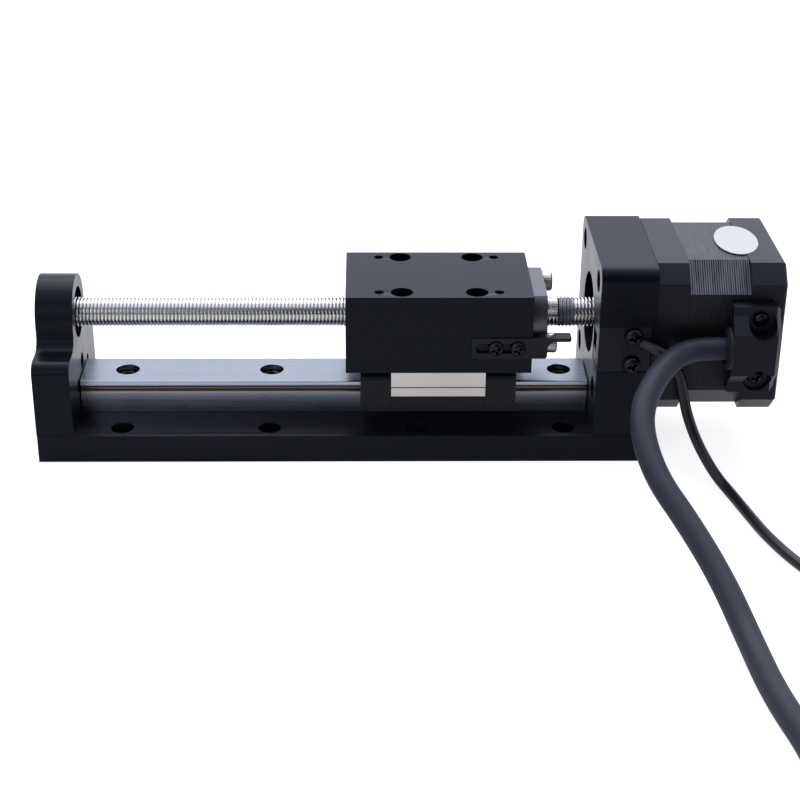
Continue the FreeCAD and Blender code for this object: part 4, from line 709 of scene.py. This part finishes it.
def housing(name, cable_end, size, columns, rows):
    """A piece of boxes: neck, body, the walls round the chambers, and the latch with its hook.

    It stands on the floor with its neck's middle at the cable's end.
    """
    long, wide, high = size
    corner = (cable_end[0], cable_end[1] - wide / 2, 0)
    wall = high * 0.1
    roof = high - wall * 1.4
    bars = [
        (0, wide * 0.16, wall, long * 0.14, wide * 0.84, roof - wall),
        (long * 0.14, 0, 0, long * 0.5, wide, roof),
        (long * 0.5, 0, 0, long, wide, wall),
        (long * 0.5, 0, roof - wall, long, wide, roof),
        (long * 0.2, wide * 0.36, roof, long * 0.72, wide * 0.64, high - wall * 0.4),
        (long * 0.66, wide * 0.32, roof, long * 0.72, wide * 0.68, high),
    ]
    pitch = (wide - wall) / columns
    bars += [(long * 0.5, pitch * i, wall, long, pitch * i + wall, roof - wall)
             for i in range(columns + 1)]
    step = (roof - wall) / rows
    bars += [(long * 0.5, wall, step * i, long - wall, wide - wall, step * i + wall)
             for i in range(1, rows)]
    low = np.array(bars)[:, :3] + corner
    top = np.array(bars)[:, 3:] + corner
    pick = np.array([(i, j, k) for i in (0, 1) for j in (0, 1) for k in (0, 1)])
    vertices = np.where(pick[None] == 1, top[:, None], low[:, None]).reshape(-1, 3)
    sides = np.array([(0, 1, 3, 2), (4, 6, 7, 5), (0, 4, 5, 1), (2, 3, 7, 6), (0, 2, 6, 4),
                      (1, 5, 7, 3)])
    faces = (sides[None] + 8 * np.arange(len(bars))[:, None, None]).reshape(-1, 4).tolist()
    piece = make_piece(name + "_dressed", vertices, faces, "base")
    piece.modifiers.clear()
    break_edges(piece, 0.15, weld=False)
    dress(nylon, [piece])
    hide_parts(name)
    return piece


motor_plug = housing("motor_cable_connector", motor_points[-1], (20, 12, 8), 3, 2)
sensor_plug = housing("sensor_cable_connector", sensor_points[-1], (7.8, 6.6, 4.6), 3, 1)


# Studio
# A white floor and a white surround that the metal mirrors, darker on the camera's side as in a
# photographer's room, a large overhead softbox, and the camera where the photograph was taken.

floor_half = 6
floor_glow, glow_in_front, glow_turns = 0.8, 0.45, 0.05
room_front, room_back = -0.72, -0.38
room_dark, room_bright, room_light = 0.05, 1.55, 0.55
lamp_colour = "#f2f5fc"
picture_wide, sensor_wide, focal_pixels = 800, 36, 1755.2
camera_place, camera_turns = (6.16, -442.36, 227.85), (1.2439, 26.438, 0.486)


def studio_floor(name, hex_colour, glow, front_part):
    """White to the camera and plain to the light; metal mirrors a part of the glow.

    That part is the whole glow behind the object and falls to front_part in front of it.
    """
    material = bpy.data.materials.new(name)
    material.use_nodes = True
    tree = material.node_tree
    plain = tree.nodes["Principled BSDF"]
    plain.inputs["Base Color"].default_value = linear(hex_colour)
    plain.inputs["Roughness"].default_value = 0.9
    shine = put(tree, "ShaderNodeEmission", {"Color": (1, 1, 1, 1), "Strength": glow})
    path = put(tree, "ShaderNodeLightPath")
    both = put(tree, "ShaderNodeAddShader", {0: plain.outputs[0], 1: shine.outputs[0]})
    where = put(tree, "ShaderNodeTexCoord").outputs["Object"]
    away = put(tree, "ShaderNodeSeparateXYZ", {"Vector": where}).outputs["Y"]
    part = put(tree, "ShaderNodeMapRange", {"Value": away, "From Min": -glow_turns,
                                            "From Max": glow_turns, "To Min": front_part,
                                            "To Max": 1.0})
    share = put(tree, "ShaderNodeMath", {0: path.outputs["Is Glossy Ray"], 1: part.outputs[0],
                                         2: path.outputs["Is Camera Ray"]},
                operation="MULTIPLY_ADD", use_clamp=True)
    mix = put(tree, "ShaderNodeMixShader", {0: share.outputs[0], 1: plain.outputs[0],
                                            2: both.outputs[0]})
    tree.links.new(mix.outputs[0], tree.nodes["Material Output"].inputs["Surface"])
    return material


floor_mesh = bpy.data.meshes.new("studio_floor")
floor_corners = [(floor_half * i, floor_half * j, 0)
                 for i, j in ((-1, -1), (1, -1), (1, 1), (-1, 1))]
floor_mesh.from_pydata(floor_corners, [], [(0, 1, 2, 3)])
floor = bpy.data.objects.new("studio_floor", floor_mesh)
bpy.context.scene.collection.objects.link(floor)
floor_mesh.materials.append(studio_floor("white_studio_floor", "#c8c8c8", floor_glow,
                                         glow_in_front))

# The camera sees white; metal mirrors the room, bright behind the object and dark in front.
world = bpy.data.worlds.new("studio")
bpy.context.scene.world = world
world.use_nodes = True
tree = world.node_tree
path = put(tree, "ShaderNodeLightPath")
mirrored = put(tree, "ShaderNodeMath", {0: path.outputs["Is Glossy Ray"],
                                        1: path.outputs["Is Transmission Ray"]},
               operation="MAXIMUM")
away = put(tree, "ShaderNodeSeparateXYZ", {
    "Vector": put(tree, "ShaderNodeTexCoord").outputs["Generated"]}).outputs["Y"]
room = put(tree, "ShaderNodeMapRange", {"Value": away, "From Min": room_front,
                                        "From Max": room_back, "To Min": room_dark,
                                        "To Max": room_bright})
seen = put(tree, "ShaderNodeMix", {0: mirrored.outputs[0], 2: room_light, 3: room.outputs[0]})
strength = put(tree, "ShaderNodeMix", {0: path.outputs["Is Camera Ray"], 2: seen.outputs[0],
                                       3: 1.0})
cast = put(tree, "ShaderNodeMix", {0: path.outputs["Is Camera Ray"], 6: linear("#e9eefd"),
                                   7: (1, 1, 1, 1)}, data_type="RGBA")
background = tree.nodes["Background"]
tree.links.new(strength.outputs[0], background.inputs["Strength"])
tree.links.new(cast.outputs[2], background.inputs["Color"])


def softbox(name, place, aim, width, depth, power):
    """A rectangular lamp that looks from its place to its aim."""
    light = bpy.data.lights.new(name, "AREA")
    light.shape = "RECTANGLE"
    light.size = width
    light.size_y = depth
    light.energy = power
    light.color = linear(lamp_colour)[:3]
    lamp = bpy.data.objects.new(name, light)
    way = np.array(aim, float) - np.array(place, float)
    lamp.location = place
    lamp.rotation_euler = (math.atan2(math.hypot(way[0], way[1]), -way[2]), 0,
                           math.atan2(way[0], -way[1]) + math.pi)
    bpy.context.scene.collection.objects.link(lamp)


softbox("overhead_softbox", (0.0, 0.45, 0.85), (0.03, 0, 0), 1.2, 0.8, 10.0)
softbox("front_fill", (-0.5, -0.9, 0.5), (0.03, 0, 0.03), 0.6, 0.6, 2.6)

# The camera looks along forward; level is its right-hand side before it rolls.
yaw, pitch, roll = [math.radians(angle) for angle in camera_turns]
forward = np.array([math.sin(yaw) * math.cos(pitch), math.cos(yaw) * math.cos(pitch),
                    -math.sin(pitch)])
level = np.array([math.cos(yaw), -math.sin(yaw), 0])
upright = np.cross(level, forward)
right = level * math.cos(roll) + upright * math.sin(roll)
up = upright * math.cos(roll) - level * math.sin(roll)
lens = bpy.data.cameras.new("camera")
lens.sensor_width = sensor_wide
lens.lens = focal_pixels * sensor_wide / picture_wide
lens.clip_start = 0.01
camera = bpy.data.objects.new("camera", lens)
bpy.context.scene.collection.objects.link(camera)
matrix = np.eye(4)
matrix[:3, 0], matrix[:3, 1], matrix[:3, 2] = right, up, -forward
matrix[:3, 3] = np.array(camera_place) * MM
camera.matrix_world = Matrix(matrix.tolist())
bpy.context.scene.camera = camera
bpy.context.scene.view_settings.view_transform = "Standard"
